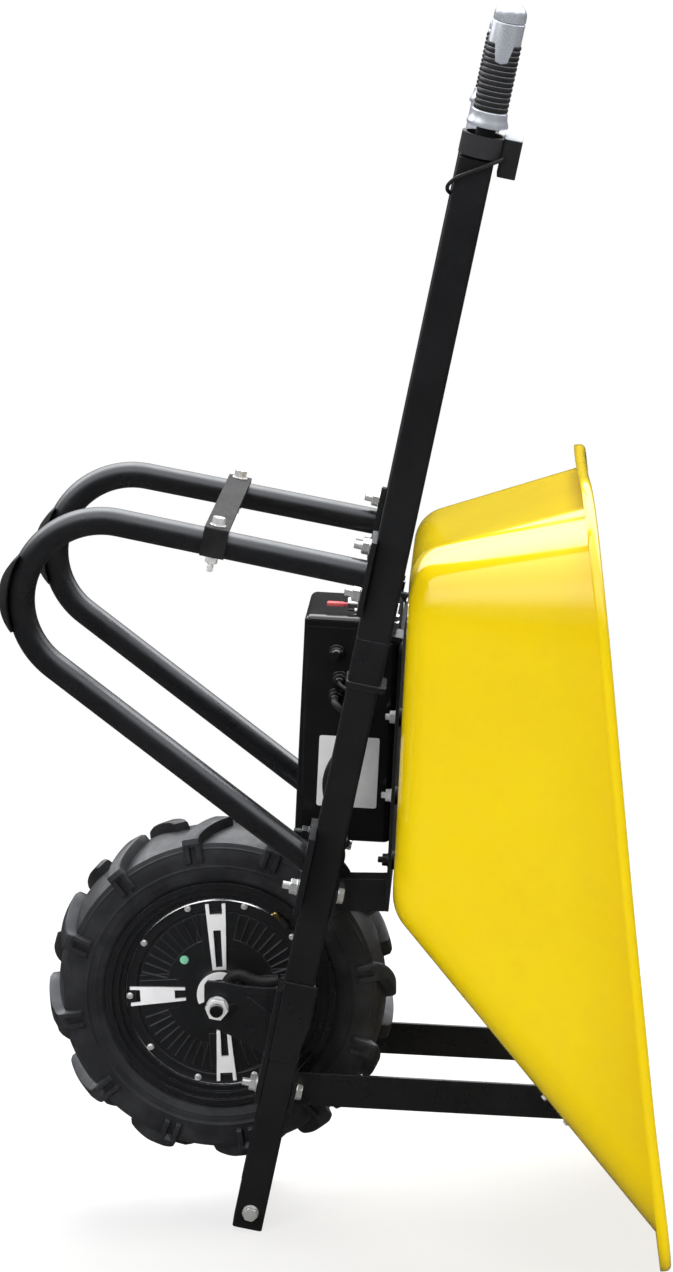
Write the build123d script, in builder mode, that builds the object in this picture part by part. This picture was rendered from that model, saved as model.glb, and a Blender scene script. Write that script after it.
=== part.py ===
import math
import os

from build123d import *

os.makedirs("parts", exist_ok=True)

# Driving dimensions in millimetres. The barrow stands on its nose: +Z points at the handles,
# +X at the tray's open side, -Y at the barrow's right-hand side.
wheel_x = -148
wheel_z = 280
tyre_radius = 211
tyre_half_width = 53
carcass_radius = 199
lug_count = 12
lug_width = 17
lug_sweep = -38
lug_turn = -11
tube_section = (23, 40)
rim_radius = 139
rim_half_width = 46
housing_bore = 104
cover_radius = 117
cover_face = 33
cover_screw_circle = 110.9
cover_screw_count = 10
cover_screw_turn = 3.07
spoke_turn = 3.3
spoke_width = 25
spoke_inner = 30
spoke_outer = 102
axle_radius = 9
axle_thread = 8
axle_half_length = 116
bearing_radius = 20
running_gap = 0.05

rail_lean = 0.2081
rail_spread = 0.1174
rail_foot_x = -115
rail_foot_y = 79.3
rail_size = 36
rail_corner = 4
rail_wall = 2.5
rail_top = 862
handle_size = 39
handle_bottom = 744.5
handle_top = 1292
collar_bottom = 686
collar_top = 744
sleeve_bore = 36.4

nose_bar_size = 30
nose_bolt_height = 27
axle_bolt_height = 182
leg_bolt_heights_low = (432, 498)
leg_bolt_heights_high = (789, 845)
frame_bolt = 10
bolt_tail = 9
hole_slack = 0.3

leg_radius = 16
leg_wall = 2.5
leg_bend = 95.7
leg_top_start = (44, 818.4)
leg_corner = (-647.8, 956.0)
leg_bottom_end = (-4, 456.1)
leg_offset = -145.9
leg_offset_x = -0.0405
leg_offset_z = -0.053
pad_thickness = 10
pad_curve = 59.5
pad_middle = (-331, 789.7)
pad_wrap = 14
strap_x = -141
strap_width = 28
strap_thickness = 4

tray_tilt = 2.77
tray_floor_x = 62.1
tray_floor_z = 436.7
tray_floor_front = -23
tray_floor_back = 402
tray_floor_half = 205
tray_floor_corner = 70
tray_rim_tilt = 6.33
tray_rim_x = 388
tray_rim_front = 29.5
tray_rim_back = 907
tray_rim_half = 302
tray_rim_corner = 120
tray_flange = 28
tray_lip = 13
tray_sheet = 2
tray_bottom_fillet = 48

plate_gap = 4
plate_thickness = 4
plate_bottom = -28
plate_top = 295
plate_half = 142
tray_bolt_rows = (29, 107, 201)
tray_bolt_y = 110
tray_bolt = 8

foot_along = 318
foot_bolt_step = 20
right_foot_y = 110
left_foot_y = 88
foot_thickness = 4
right_brace_y = 86
left_brace_y = 114
left_brace_rise = 8
brace_thickness = 5
brace_height = 40
brace_start = (-60, 177.4)
brace_slope = -0.043

case_bottom = 42
case_width = 113
case_depth = 164
case_height = 256
case_corner = 9
case_wall = 3
lid_height = 13

grip_shift = 3.5
stub_radius = 11
grip_flare_start = 40
grip_rubber_start = 57.5
grip_rubber_end = 133
grip_cap_start = 157
grip_end = 178
left_grip_end = 148
grip_rib_count = 13


def keep(builder, name):
    builder.part.label = name
    export_step(builder.part, f"parts/{name}.step")


def keep_pair(builder, name):
    keep(builder, f"right_{name}")
    with BuildPart() as twin:
        mirror(builder.part, about=Plane.XZ)
    keep(twin, f"left_{name}")


def bore(place, radius, depth, both=False):
    with BuildSketch(place) as outline:
        Circle(radius)
    extrude(outline.sketch, amount=depth, both=both, mode=Mode.SUBTRACT)


def rod(place, radius, length):
    with BuildSketch(place) as outline:
        Circle(radius)
    extrude(outline.sketch, amount=length)


def hexagon(place, flats, height, hole=0.0):
    with BuildSketch(place) as outline:
        RegularPolygon(radius=flats / 2, side_count=6, major_radius=False)
        if hole:
            Circle(hole, mode=Mode.SUBTRACT)
    extrude(outline.sketch, amount=height)


def bolt_and_nut(place, grip, size, tail=5):
    hexagon(place, 1.6 * size, -0.64 * size)
    rod(place, size / 2, grip + 0.8 * size + tail)
    hexagon(place.offset(grip), 1.6 * size, 0.8 * size, size / 2 + 0.1)


def at(place, x, y, z=0.0):
    return Plane(origin=place.from_local_coords((x, y, z)), x_dir=place.x_dir, z_dir=place.z_dir)


def ring(place, outer, inner, height):
    with BuildSketch(place) as outline:
        Circle(outer)
        Circle(inner, mode=Mode.SUBTRACT)
    extrude(outline.sketch, amount=height)


def closed_outline(points):
    with BuildLine() as border:
        Polyline(*points, close=True)
    make_face(border.edges())


def bend_radii(points):
    runs = [Vector(*after) - Vector(*before) for before, after in zip(points, points[1:])]
    room = [0.45 * run.length for run in runs]
    room[0] = 2 * room[0]
    room[-1] = 2 * room[-1]
    radii = []
    for first, second, near, far in zip(runs, runs[1:], room, room[1:]):
        turn = math.radians(first.get_angle(second))
        radii.append(min(near, far) / math.tan(turn / 2))
    return radii


def cable(points, radius, name):
    with BuildPart() as lead:
        with BuildLine() as route:
            FilletPolyline(*points, radius=bend_radii(points))
        with BuildSketch(Plane(origin=route.line @ 0, z_dir=route.line % 0)):
            Circle(radius)
        sweep()
    length = route.wire().length
    print(name, "bends", [round(bend, 1) for bend in bend_radii(points)])
    print(name, "length", round(length), "volume", round(lead.part.volume))
    print(name, "section times length", round(math.pi * radius**2 * length))
    keep(lead, name)


# Rail frame: the rail's own axis, the direction across it towards the tray, and inwards.
rail_axis = Vector(rail_lean, -rail_spread, 1).normalized()
rail_across = (Vector(1, 0, 0) - rail_axis * rail_axis.X).normalized()
rail_inward = rail_axis.cross(rail_across)
rail_stretch = 1 / rail_axis.Z
rail_half = rail_size / 2
handle_half = handle_size / 2


def rail_point(height, across=0.0, inward=0.0):
    centre = Vector(
        rail_foot_x + rail_lean * height,
        -rail_foot_y - rail_spread * height,
        height,
    )
    return centre + rail_across * across + rail_inward * inward


def rail_section(height):
    return Plane(origin=rail_point(height), x_dir=rail_across, z_dir=rail_axis)


def rail_crosswise(height, across=0.0, inward=0.0):
    return Plane(origin=rail_point(height, across, inward), x_dir=rail_axis, z_dir=rail_across)


def rail_backward(height, across):
    return Plane(origin=rail_point(height, across), x_dir=rail_axis, z_dir=rail_across * -1)


def rail_sideways(height, inward=0.0):
    return Plane(origin=rail_point(height, 0, inward), x_dir=rail_across, z_dir=rail_inward)


def rail_plate(low, high, left, right, outer, inner):
    with BuildSketch(rail_section(low)) as outline:
        with Locations(((left + right) / 2, (outer + inner) / 2)):
            Rectangle(right - left, inner - outer)
    extrude(outline.sketch, amount=(high - low) * rail_stretch)


# Rails: straight square tubes from the nose up into the handle tubes.
corner_drop = abs(rail_across.Z) + abs(rail_inward.Z)
corner_round = rail_corner * math.hypot(rail_across.Z, rail_inward.Z)
rail_bottom = (rail_half - rail_corner) * corner_drop + corner_round
rail_bore = rail_size - 2 * rail_wall
through_hole = frame_bolt / 2 + hole_slack
cable_exit_height = 674.5
cable_entry_height = 1251.4

with BuildPart() as rail:
    with BuildSketch(rail_section(rail_bottom)):
        RectangleRounded(rail_size, rail_size, rail_corner)
    extrude(amount=(rail_top - rail_bottom) * rail_stretch)
    with BuildSketch(rail_section(rail_bottom + 3)):
        RectangleRounded(rail_bore, rail_bore, rail_corner - 2)
    extrude(amount=(rail_top - rail_bottom) * rail_stretch, mode=Mode.SUBTRACT)
    for height in (axle_bolt_height, *leg_bolt_heights_low):
        bore(rail_crosswise(height), through_hole, 40, both=True)
    for height in leg_bolt_heights_high:
        bore(rail_crosswise(height), through_hole, -40)
    bore(rail_sideways(nose_bolt_height), through_hole, 40, both=True)
    bore(rail_sideways(cable_exit_height), 6.5, 40)
keep_pair(rail, "rail")

grip_plane = at(rail_section(handle_top), grip_shift, 0)

with BuildPart() as handle:
    with BuildSketch(rail_section(handle_bottom)):
        RectangleRounded(handle_size, handle_size, rail_corner + 1.3)
        RectangleRounded(sleeve_bore, sleeve_bore, rail_corner + 0.2, mode=Mode.SUBTRACT)
    extrude(amount=(handle_top - handle_bottom) * rail_stretch)
    with BuildSketch(rail_section(handle_top)):
        RectangleRounded(handle_size, handle_size, rail_corner + 1.3)
    extrude(amount=3.5)
    rod(grip_plane, stub_radius, grip_cap_start + 4)
    bore(grip_plane, stub_radius - 2.5, 200)
    for height in leg_bolt_heights_high:
        bore(rail_crosswise(height), through_hole, -40)
    bore(rail_crosswise(cable_entry_height, inward=-1.6), 5, -40)
keep(handle, "right_handle_tube")

other_axis = (rail_axis.X, -rail_axis.Y, rail_axis.Z)
left_stub_end = grip_plane.origin + rail_axis * (left_grip_end - 10)
with BuildPart() as left_handle:
    mirror(handle.part, about=Plane.XZ)
    split(
        bisect_by=Plane(origin=(left_stub_end.X, -left_stub_end.Y, left_stub_end.Z), z_dir=other_axis),
        keep=Keep.BOTTOM,
    )
keep(left_handle, "left_handle_tube")

# Collars: slide up the rails against the handle tubes and carry the tray plate's upper tabs.
tab_thickness = 5
tab_bolt = (19, 34)

with BuildPart() as collar:
    with BuildSketch(rail_section(collar_bottom)):
        RectangleRounded(handle_size, handle_size, rail_corner + 1.3)
    extrude(amount=(collar_top - collar_bottom) * rail_stretch)
    with BuildSketch(rail_section(collar_bottom)):
        with Locations((2.5, 0)):
            RectangleRounded(handle_size + 8, handle_size + 3, rail_corner + 1.3)
    extrude(amount=7)
    rail_plate(collar_top - tab_thickness, collar_top, 6, 34, 16, 50)
    with BuildSketch(rail_section(collar_bottom - 5)):
        RectangleRounded(sleeve_bore, sleeve_bore, rail_corner + 0.2)
    extrude(amount=90, mode=Mode.SUBTRACT)
    with BuildSketch(rail_section(collar_top)):
        with Locations(tab_bolt):
            Circle(tray_bolt / 2 + hole_slack)
    extrude(amount=12, both=True, mode=Mode.SUBTRACT)
keep_pair(collar, "rail_collar")

# Nose bar between the rail ends.
nose_centre = rail_point(nose_bolt_height)
inner_face = Plane(origin=rail_point(nose_bolt_height, 0, rail_half), z_dir=rail_inward)
other_inward = Vector(rail_inward.X, -rail_inward.Y, rail_inward.Z)
other_point = rail_point(nose_bolt_height, 0, rail_half)
other_face = Plane(origin=(other_point.X, -other_point.Y, other_point.Z), z_dir=other_inward)

with BuildPart() as nose_bar:
    with BuildSketch(Plane.XZ.offset(-80)):
        with Locations((nose_centre.X, nose_centre.Z)):
            RectangleRounded(nose_bar_size, nose_bar_size, 3)
    extrude(amount=160)
    with BuildSketch(Plane.XZ.offset(-52)):
        with Locations((nose_centre.X, nose_centre.Z)):
            Rectangle(nose_bar_size - 6, nose_bar_size - 6)
    extrude(amount=104, mode=Mode.SUBTRACT)
    split(bisect_by=inner_face, keep=Keep.TOP)
    split(bisect_by=other_face, keep=Keep.TOP)
    bore(rail_sideways(nose_bolt_height), frame_bolt / 2 + 0.05, 42)
    bore(
        Plane(
            origin=(nose_centre.X, -nose_centre.Y, nose_centre.Z),
            x_dir=(rail_across.X, -rail_across.Y, rail_across.Z),
            z_dir=other_inward,
        ),
        frame_bolt / 2 + 0.05,
        42,
    )
keep(nose_bar, "nose_bar")

# Axle brackets: bent arms from the axle to the flanges on the rails' wheel-side faces.
axle_plate_y = -92
arm_y = -98
arm_thickness = 6
flange_thickness = 6
arm_bends = ((-40, axle_plate_y), (34, axle_plate_y), (58, arm_y), (140, arm_y))
near_side = [(wheel_x + x, y - arm_thickness / 2) for x, y in arm_bends]
far_side = [(wheel_x + x, y + arm_thickness / 2) for x, y in reversed(arm_bends)]
middle_side = [(wheel_x + x, y) for x, y in arm_bends]
arm_shape = (
    (-15.6, 26), (-12, 31), (10, 29.5), (31, 25), (130, 25), (130, 17), (31, 16), (66, -8), (130, -8),
    (130, -100), (53, -55), (14, -35), (-9.5, -24), (-15.6, -17),
)
web_shape = ((28, 18), (130, 18), (130, -10), (66, -10))


def bracket_slab(outer_side, shape):
    with BuildPart(mode=Mode.PRIVATE) as slab:
        with BuildSketch(Plane.XY.offset(wheel_z - 120)):
            closed_outline(outer_side + far_side)
        extrude(amount=160)
        with BuildSketch(Plane.XZ):
            closed_outline([(wheel_x + x, wheel_z + z) for x, z in shape])
        extrude(amount=160, mode=Mode.INTERSECT)
    return slab.part


with BuildPart() as axle_bracket:
    add(bracket_slab(near_side, arm_shape))
    add(bracket_slab(middle_side, web_shape))
    split(
        bisect_by=Plane(origin=rail_point(wheel_z, -rail_half - 2), z_dir=rail_across),
        keep=Keep.BOTTOM,
    )
    rail_plate(166, 310, -rail_half - flange_thickness, -rail_half, -rail_half, rail_half)
    bore(Plane.XZ.shift_origin((wheel_x, 0, wheel_z)), axle_thread + 0.1, 160)
    bore(rail_crosswise(axle_bolt_height), through_hole, -60)
keep_pair(axle_bracket, "axle_bracket")

# Cheek plates on the rails' outer faces beside the axle.
cheek_top = 323

with BuildPart() as cheek:
    with BuildSketch(rail_sideways(cheek_top, -rail_half)):
        with BuildLine():
            Polyline((22, 40), (22, 0), (-17, 0), (-17, 100), (17, 100), (17, 82))
            Spline((17, 82), (20.4, 62), (22, 40))
        make_face()
    extrude(amount=-3)
    fillet(cheek.edges().filter_by(GeomType.BSPLINE), 1)
keep_pair(cheek, "rail_cheek")


# Legs: bent round tubes with bolt plates at both ends.
def leg_point(place):
    x, z = place
    return (x, leg_offset + leg_offset_x * x + leg_offset_z * z, z)


def leg_route():
    return FilletPolyline(
        leg_point(leg_top_start),
        leg_point(leg_corner),
        leg_point(leg_bottom_end),
        radius=leg_bend,
    )


leg_run = (Vector(*leg_point(leg_corner)) - Vector(*leg_point(leg_top_start))).normalized()
leg_plane_normal = Vector(leg_offset_x, -1, leg_offset_z).normalized()
leg_outside = leg_plane_normal.cross(leg_run)
if leg_outside.Z < 0:
    leg_outside = leg_outside * -1
leg_start_plane = Plane(origin=leg_point(leg_top_start), x_dir=leg_outside, z_dir=leg_run)
strap_slope = (leg_corner[1] - leg_top_start[1]) / (leg_corner[0] - leg_top_start[0])
strap_z = leg_top_start[1] + strap_slope * (strap_x - leg_top_start[0])
strap_length_dir = Vector(1, 0, strap_slope).normalized()
strap_plane = Plane(
    origin=(strap_x, 0, strap_z),
    x_dir=strap_length_dir,
    z_dir=(-strap_length_dir.Z, 0, strap_length_dir.X),
)
strap_leg_y = -leg_point((strap_x, strap_z))[1]
strap_bolt_right = strap_plane.shift_origin((strap_x, -strap_leg_y, strap_z))

with BuildPart() as leg:
    with BuildLine():
        leg_route()
    with BuildSketch(leg_start_plane):
        Circle(leg_radius)
    sweep()
    with BuildLine():
        leg_route()
    with BuildSketch(leg_start_plane):
        Circle(leg_radius - leg_wall)
    sweep(mode=Mode.SUBTRACT)
    split(
        bisect_by=Plane(origin=rail_point(600, -handle_half - flange_thickness + 2), z_dir=rail_across),
        keep=Keep.BOTTOM,
    )
    rail_plate(774, 860, -handle_half - flange_thickness, -handle_half, -34, 17)
    rail_plate(418, 512, -handle_half - flange_thickness, -rail_half, -54, 17)
    for height in (*leg_bolt_heights_low, *leg_bolt_heights_high):
        bore(rail_crosswise(height), through_hole, -60)
    bore(strap_bolt_right, tray_bolt / 2 + hole_slack, 30, both=True)
keep_pair(leg, "leg")

with BuildPart() as leg_pad:
    with BuildLine():
        leg_route()
    with BuildSketch(leg_start_plane):
        Circle(leg_radius + pad_thickness)
        Circle(leg_radius + 0.1, mode=Mode.SUBTRACT)
        with Locations((pad_wrap - leg_radius - pad_thickness, 0)):
            Rectangle(2 * (leg_radius + pad_thickness), 80, mode=Mode.SUBTRACT)
    sweep()
    with BuildSketch(Plane.XZ.offset(100)):
        with Locations(pad_middle):
            Circle(pad_curve)
    extrude(amount=160, mode=Mode.INTERSECT)
keep_pair(leg_pad, "leg_pad")

strap_end = strap_leg_y + leg_radius + strap_thickness + 0.6
with BuildPart() as leg_strap:
    with BuildSketch(strap_plane.offset(leg_radius + 0.1)):
        Rectangle(strap_width, 2 * strap_end)
    extrude(amount=strap_thickness)
    for side in (-1, 1):
        with BuildSketch(strap_plane.offset(-leg_radius + 2)):
            with Locations((0, side * (strap_end - strap_thickness / 2))):
                Rectangle(strap_width, strap_thickness)
        extrude(amount=2 * leg_radius - 1.5)
    bore(strap_bolt_right, tray_bolt / 2 + hole_slack, 30)
    bore(strap_plane.shift_origin((strap_x, strap_leg_y, strap_z)), tray_bolt / 2 + hole_slack, 30)
    along_leg = leg_strap.edges().filter_by(Axis((0, 0, 0), strap_length_dir))
    folds = [edge for edge in along_leg if abs(edge.center().Y) > strap_end - 0.1]
    fillet([edge for edge in folds if edge.center().Z > strap_z], 3)
keep(leg_strap, "leg_strap")

# Tray seat frame: along the tray's underside, normal into the tray.
tilt_sine = math.sin(math.radians(tray_tilt))
tilt_cosine = math.cos(math.radians(tray_tilt))
seat_plane = Plane(
    origin=(tray_floor_x, 0, tray_floor_z),
    x_dir=(tilt_sine, 0, tilt_cosine),
    z_dir=(tilt_cosine, 0, -tilt_sine),
)
plate_back = seat_plane.offset(-plate_gap - plate_thickness)

# Tray: pressed sheet with flaring walls, a flat flange and a turned-down lip.
rim_sine = math.sin(math.radians(tray_rim_tilt))
rim_cosine = math.cos(math.radians(tray_rim_tilt))
rim_plane = Plane(
    origin=(tray_rim_x, 0, 0),
    x_dir=(-rim_sine, 0, rim_cosine),
    z_dir=(rim_cosine, 0, rim_sine),
)


def tray_section(front, back, half, corner, grow=0.0, mode=Mode.ADD):
    with Locations(((front + back) / 2, 0)):
        RectangleRounded(back - front + 2 * grow, 2 * (half + grow), corner + grow, mode=mode)


def rim_section(grow, mode=Mode.ADD):
    tray_section(tray_rim_front, tray_rim_back, tray_rim_half, tray_rim_corner, grow, mode)


floor_front = seat_plane.from_local_coords((tray_floor_front, 0, 0))
rim_front = rim_plane.from_local_coords((tray_rim_front, 0, 0))
wall_down = (rim_front - floor_front).normalized()
front_wall = Plane(origin=floor_front, x_dir=wall_down, z_dir=(wall_down.Z, 0, -wall_down.X))
bolt_places = [(row, side * tray_bolt_y) for row in tray_bolt_rows for side in (-1, 1)]
foot_places = [
    (foot_along + step * foot_bolt_step, side) for step in (-1, 1) for side in (right_foot_y, -left_foot_y)
]
bolt_hole = tray_bolt / 2 + hole_slack

with BuildPart() as hollow:
    with BuildSketch(seat_plane.offset(tray_sheet)):
        tray_section(tray_floor_front, tray_floor_back, tray_floor_half, tray_floor_corner, -1.1)
    with BuildSketch(rim_plane.offset(0.01)):
        rim_section(-1.2 * tray_sheet)
    loft(ruled=True)
    fillet(hollow.faces().sort_by(Axis.X)[0].edges(), tray_bottom_fillet - tray_sheet)

with BuildPart() as tray:
    with BuildSketch(seat_plane):
        tray_section(tray_floor_front, tray_floor_back, tray_floor_half, tray_floor_corner)
    with BuildSketch(rim_plane):
        rim_section(0)
    loft(ruled=True)
    floor_edges = tray.faces().sort_by(Axis.X)[0].edges()
    fillet(floor_edges, tray_bottom_fillet)
    with BuildSketch(rim_plane):
        rim_section(tray_flange)
    extrude(amount=-tray_sheet)
    add(hollow.part, mode=Mode.SUBTRACT)
    with BuildSketch(rim_plane):
        rim_section(tray_flange)
        rim_section(tray_flange - tray_sheet, Mode.SUBTRACT)
    extrude(amount=-tray_lip)
    for along, side in bolt_places:
        bore(at(seat_plane, along, side, -2), bolt_hole, 12)
    for along, side in foot_places:
        bore(at(front_wall, along, side, 3), bolt_hole, -12)
keep(tray, "tray")

# Mount plate behind the tray, with tabs that hang on the rail collars.
with BuildPart() as mount_plate:
    with BuildSketch(plate_back):
        with Locations(((plate_bottom + plate_top) / 2, 0)):
            RectangleRounded(plate_top - plate_bottom, 2 * plate_half, 12)
    extrude(amount=plate_thickness)
    tab_top = collar_top - tab_thickness - 0.3
    rail_plate(tab_top - tab_thickness, tab_top, 9, 33, 22, 48)
    with BuildSketch(rail_section(collar_top)):
        with Locations(tab_bolt):
            Circle(bolt_hole)
    extrude(amount=-16, mode=Mode.SUBTRACT)
    split(bisect_by=Plane.XZ, keep=Keep.TOP)
    mirror(about=Plane.XZ)
    for along, side in bolt_places:
        rod(at(plate_back, along, side), 11, plate_gap + plate_thickness)
        bore(at(plate_back, along, side, -5), bolt_hole, 20)
keep(mount_plate, "mount_plate")


def dome_bolt(seat, grip):
    with BuildSketch(seat) as disc:
        Circle(9)
    extrude(disc.sketch, amount=-3.5, taper=40)
    rod(seat, tray_bolt / 2, grip + 0.8 * tray_bolt + 6)
    hexagon(seat.offset(grip), 1.6 * tray_bolt, 0.8 * tray_bolt, tray_bolt / 2 + 0.1)


# Spacer between the right rail and the plate's lower end.
spacer_low = 405
spacer_high = 444
spacer_foot = 4

with BuildPart() as spacer:
    with BuildSketch(Plane.XZ.offset(84)):
        with Locations((20, (spacer_low + spacer_high) / 2)):
            RectangleRounded(120, spacer_high - spacer_low, 3)
            Rectangle(114, spacer_high - spacer_low - 6, mode=Mode.SUBTRACT)
    extrude(amount=32)
    with BuildSketch(Plane.XZ.offset(113)):
        with Locations((20, (spacer_low + spacer_high) / 2)):
            RectangleRounded(120, spacer_high - spacer_low, 3)
    extrude(amount=3)
    split(bisect_by=Plane(origin=rail_point(425, rail_half + 2), z_dir=rail_across), keep=Keep.TOP)
    split(bisect_by=plate_back, keep=Keep.BOTTOM)
    rail_plate(spacer_low + 3, spacer_high - 1, rail_half, rail_half + spacer_foot, -17, 42)
    with BuildSketch(plate_back):
        with Locations((-11.5, 100)):
            Rectangle(spacer_high - spacer_low - 2, 32)
    extrude(amount=-4)
    bore(rail_crosswise(leg_bolt_heights_low[0]), through_hole, 40)
keep(spacer, "right_tray_spacer")

# The left rail has only a packing plate under the same bolt.
with BuildPart() as packing:
    rail_plate(spacer_low + 9, spacer_high + 6, rail_half, rail_half + spacer_foot, -17, 17)
    bore(rail_crosswise(leg_bolt_heights_low[0]), through_hole, 40)
    mirror(about=Plane.XZ)
    split(bisect_by=Plane.XZ, keep=Keep.BOTTOM)
keep(packing, "left_rail_packing")

# Braces from the rails to the tray's front wall, drawn on the right side. The left one is mirrored:
# its bar sits at the rail's outer edge and a little higher.
half_high = brace_height / 2


def brace_shape(bar_y, rise, foot_y):
    front = (brace_start[0], brace_start[1] + rise)
    back = (brace_start[0] + 380, front[1] + 380 * brace_slope)
    with BuildSketch(Plane.XZ.offset(bar_y - brace_thickness / 2)) as bar:
        closed_outline(
            [
                (front[0], front[1] + half_high),
                (back[0], back[1] + half_high),
                (back[0], back[1] - half_high),
                (front[0], front[1] - half_high),
            ]
        )
    extrude(bar.sketch, amount=brace_thickness)
    split(bisect_by=Plane(origin=rail_point(180, rail_half + 2), z_dir=rail_across), keep=Keep.TOP)
    split(bisect_by=front_wall.offset(1), keep=Keep.TOP)
    rail_plate(160, 199 + rise, rail_half, rail_half + brace_thickness, -17, 19)
    with BuildSketch(front_wall) as foot:
        with Locations((foot_along, foot_y)):
            Rectangle(84, 2 * abs(foot_y - bar_y) + brace_thickness - foot_thickness + 1)
    extrude(foot.sketch, amount=foot_thickness)
    for step in (-1, 1):
        bore(at(front_wall, foot_along + step * foot_bolt_step, foot_y, -2), bolt_hole, 12)
    bore(rail_crosswise(axle_bolt_height), through_hole, 60)


with BuildPart() as right_brace:
    brace_shape(right_brace_y, 0, right_foot_y)
keep(right_brace, "right_tray_brace")

with BuildPart() as left_brace:
    brace_shape(left_brace_y, left_brace_rise, left_foot_y)
    mirror(about=Plane.XZ)
    split(bisect_by=Plane.XZ, keep=Keep.BOTTOM)
keep(left_brace, "left_tray_brace")

# Fasteners, one group for each kind.
with BuildPart() as frame_bolts:
    head_seat = rail_sideways(nose_bolt_height, -rail_half)
    hexagon(head_seat, 1.6 * frame_bolt, -0.64 * frame_bolt)
    rod(head_seat, frame_bolt / 2, rail_size + 14)
    clamp = rail_size + flange_thickness + brace_thickness
    axle_seat = rail_backward(axle_bolt_height, rail_half + brace_thickness)
    bolt_and_nut(axle_seat, clamp, frame_bolt, bolt_tail)
    flange_left = -handle_half - flange_thickness
    for height in leg_bolt_heights_high:
        nut_seat = rail_crosswise(height, flange_left)
        hexagon(nut_seat, 1.6 * frame_bolt, -0.8 * frame_bolt)
        stub = 0.8 * frame_bolt + bolt_tail
        rod(nut_seat.offset(-stub), frame_bolt / 2, stub + 24)
    for height, packing in zip(leg_bolt_heights_low, (spacer_foot, 0)):
        leg_seat = rail_backward(height, rail_half + packing)
        bolt_and_nut(leg_seat, rail_half - flange_left + packing, frame_bolt, bolt_tail)
    mirror(about=Plane.XZ)
keep(frame_bolts, "frame_bolts")

with BuildPart() as clamp_bolts:
    strap_seat = leg_radius + 0.1 + strap_thickness
    downward = Plane(
        origin=strap_bolt_right.origin + strap_plane.z_dir * strap_seat,
        x_dir=strap_plane.x_dir,
        z_dir=strap_plane.z_dir * -1,
    )
    bolt_and_nut(downward, strap_seat + leg_radius + 0.1, tray_bolt)
    hanger = at(rail_section(collar_top), *tab_bolt)
    nut_bore = tray_bolt / 2 + 0.1
    hexagon(hanger.offset(-2 * tab_thickness - 0.8), 1.5 * tray_bolt, -4)
    rod(hanger.offset(-2 * tab_thickness - 0.8), tray_bolt / 2, 46)
    hexagon(hanger, 1.9 * tray_bolt, 14, nut_bore)
    hexagon(hanger.offset(14.2), 1.6 * tray_bolt, 7, nut_bore)
    mirror(about=Plane.XZ)
keep(clamp_bolts, "clamp_bolts")

with BuildPart() as tray_bolts:
    for along, side in bolt_places:
        inside = at(seat_plane, along, side, tray_sheet)
        backward = Plane(origin=inside.origin, x_dir=inside.x_dir, z_dir=inside.z_dir * -1)
        dome_bolt(backward, tray_sheet + plate_gap + plate_thickness)
    for along, side in foot_places:
        dome_bolt(at(front_wall, along, side, -tray_sheet), tray_sheet + foot_thickness)
keep(tray_bolts, "tray_bolts")

# Battery case on the mount plate, between the rails.
case_plane = Plane(
    origin=seat_plane.from_local_coords((case_bottom, 0, -plate_gap - plate_thickness - case_width / 2)),
    x_dir=seat_plane.z_dir,
    z_dir=seat_plane.x_dir,
)
case_front = Plane(
    origin=case_plane.from_local_coords((0, -case_depth / 2, 0)),
    x_dir=case_plane.x_dir,
    z_dir=(0, -1, 0),
)
plug_places = ((-17, 226), (-11.5, 195), (-15.5, 174))
plate_place = (3.3, 84)
plate_size = (71, 85)
lid_top = case_height + 0.2 + lid_height

with BuildPart() as battery_case:
    with BuildSketch(case_plane):
        RectangleRounded(case_width, case_depth, case_corner)
    extrude(amount=case_height)
    fillet(battery_case.faces().sort_by(Axis.Z)[0].edges(), 4)
    with BuildSketch(case_plane.offset(case_wall)):
        RectangleRounded(case_width - 2 * case_wall, case_depth - 2 * case_wall, case_corner - case_wall)
    extrude(amount=case_height, mode=Mode.SUBTRACT)
    for across, up in plug_places:
        bore(at(case_front, across, up, 2), 5, -12)
keep(battery_case, "battery_case")

with BuildPart() as battery_lid:
    with BuildSketch(case_plane.offset(case_height + 0.2)):
        RectangleRounded(case_width, case_depth, case_corner)
    extrude(amount=lid_height)
    fillet(battery_lid.faces().sort_by(Axis.Z)[-1].edges(), 8)
    with BuildSketch(case_plane.offset(case_height + 0.2)):
        RectangleRounded(case_width - 2 * case_wall, case_depth - 2 * case_wall, case_corner - case_wall)
    extrude(amount=lid_height - case_wall - 2, mode=Mode.SUBTRACT)
keep(battery_lid, "battery_lid")

with BuildPart() as battery_pack:
    with BuildSketch(case_plane.offset(case_wall + 0.5)):
        RectangleRounded(case_width - 12, case_depth - 30, 5)
    extrude(amount=180)
keep(battery_pack, "battery_pack")

with BuildPart() as controller:
    with BuildSketch(case_plane.offset(case_wall + 182)):
        RectangleRounded(case_width - 14, case_depth - 34, 3)
    extrude(amount=8)
    for step in range(9):
        with BuildSketch(case_plane.offset(case_wall + 190)):
            with Locations((0, -56 + 14 * step)):
                Rectangle(case_width - 20, 5)
        extrude(amount=26)
keep(controller, "controller")

with BuildPart() as rating_plate:
    with BuildSketch(case_front):
        with Locations(plate_place):
            RectangleRounded(*plate_size, 3)
    extrude(amount=0.8)
keep(rating_plate, "rating_plate")

plug_names = ("charge_socket", "throttle_plug", "motor_plug")
plug_length = 20
for name, (across, up) in zip(plug_names, plug_places):
    place = at(case_front, across, up)
    with BuildPart() as plug:
        rod(at(place, 0, 0, -6), 4.6, 6)
        rod(place, 9, 3)
        rod(at(place, 0, 0, 3), 7.5, plug_length - 12)
        with BuildSketch(at(place, 0, 0, plug_length - 9)) as tail:
            Circle(7.5)
        extrude(tail.sketch, amount=9 if name != "charge_socket" else 4, taper=22)
    keep(plug, name)

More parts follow.
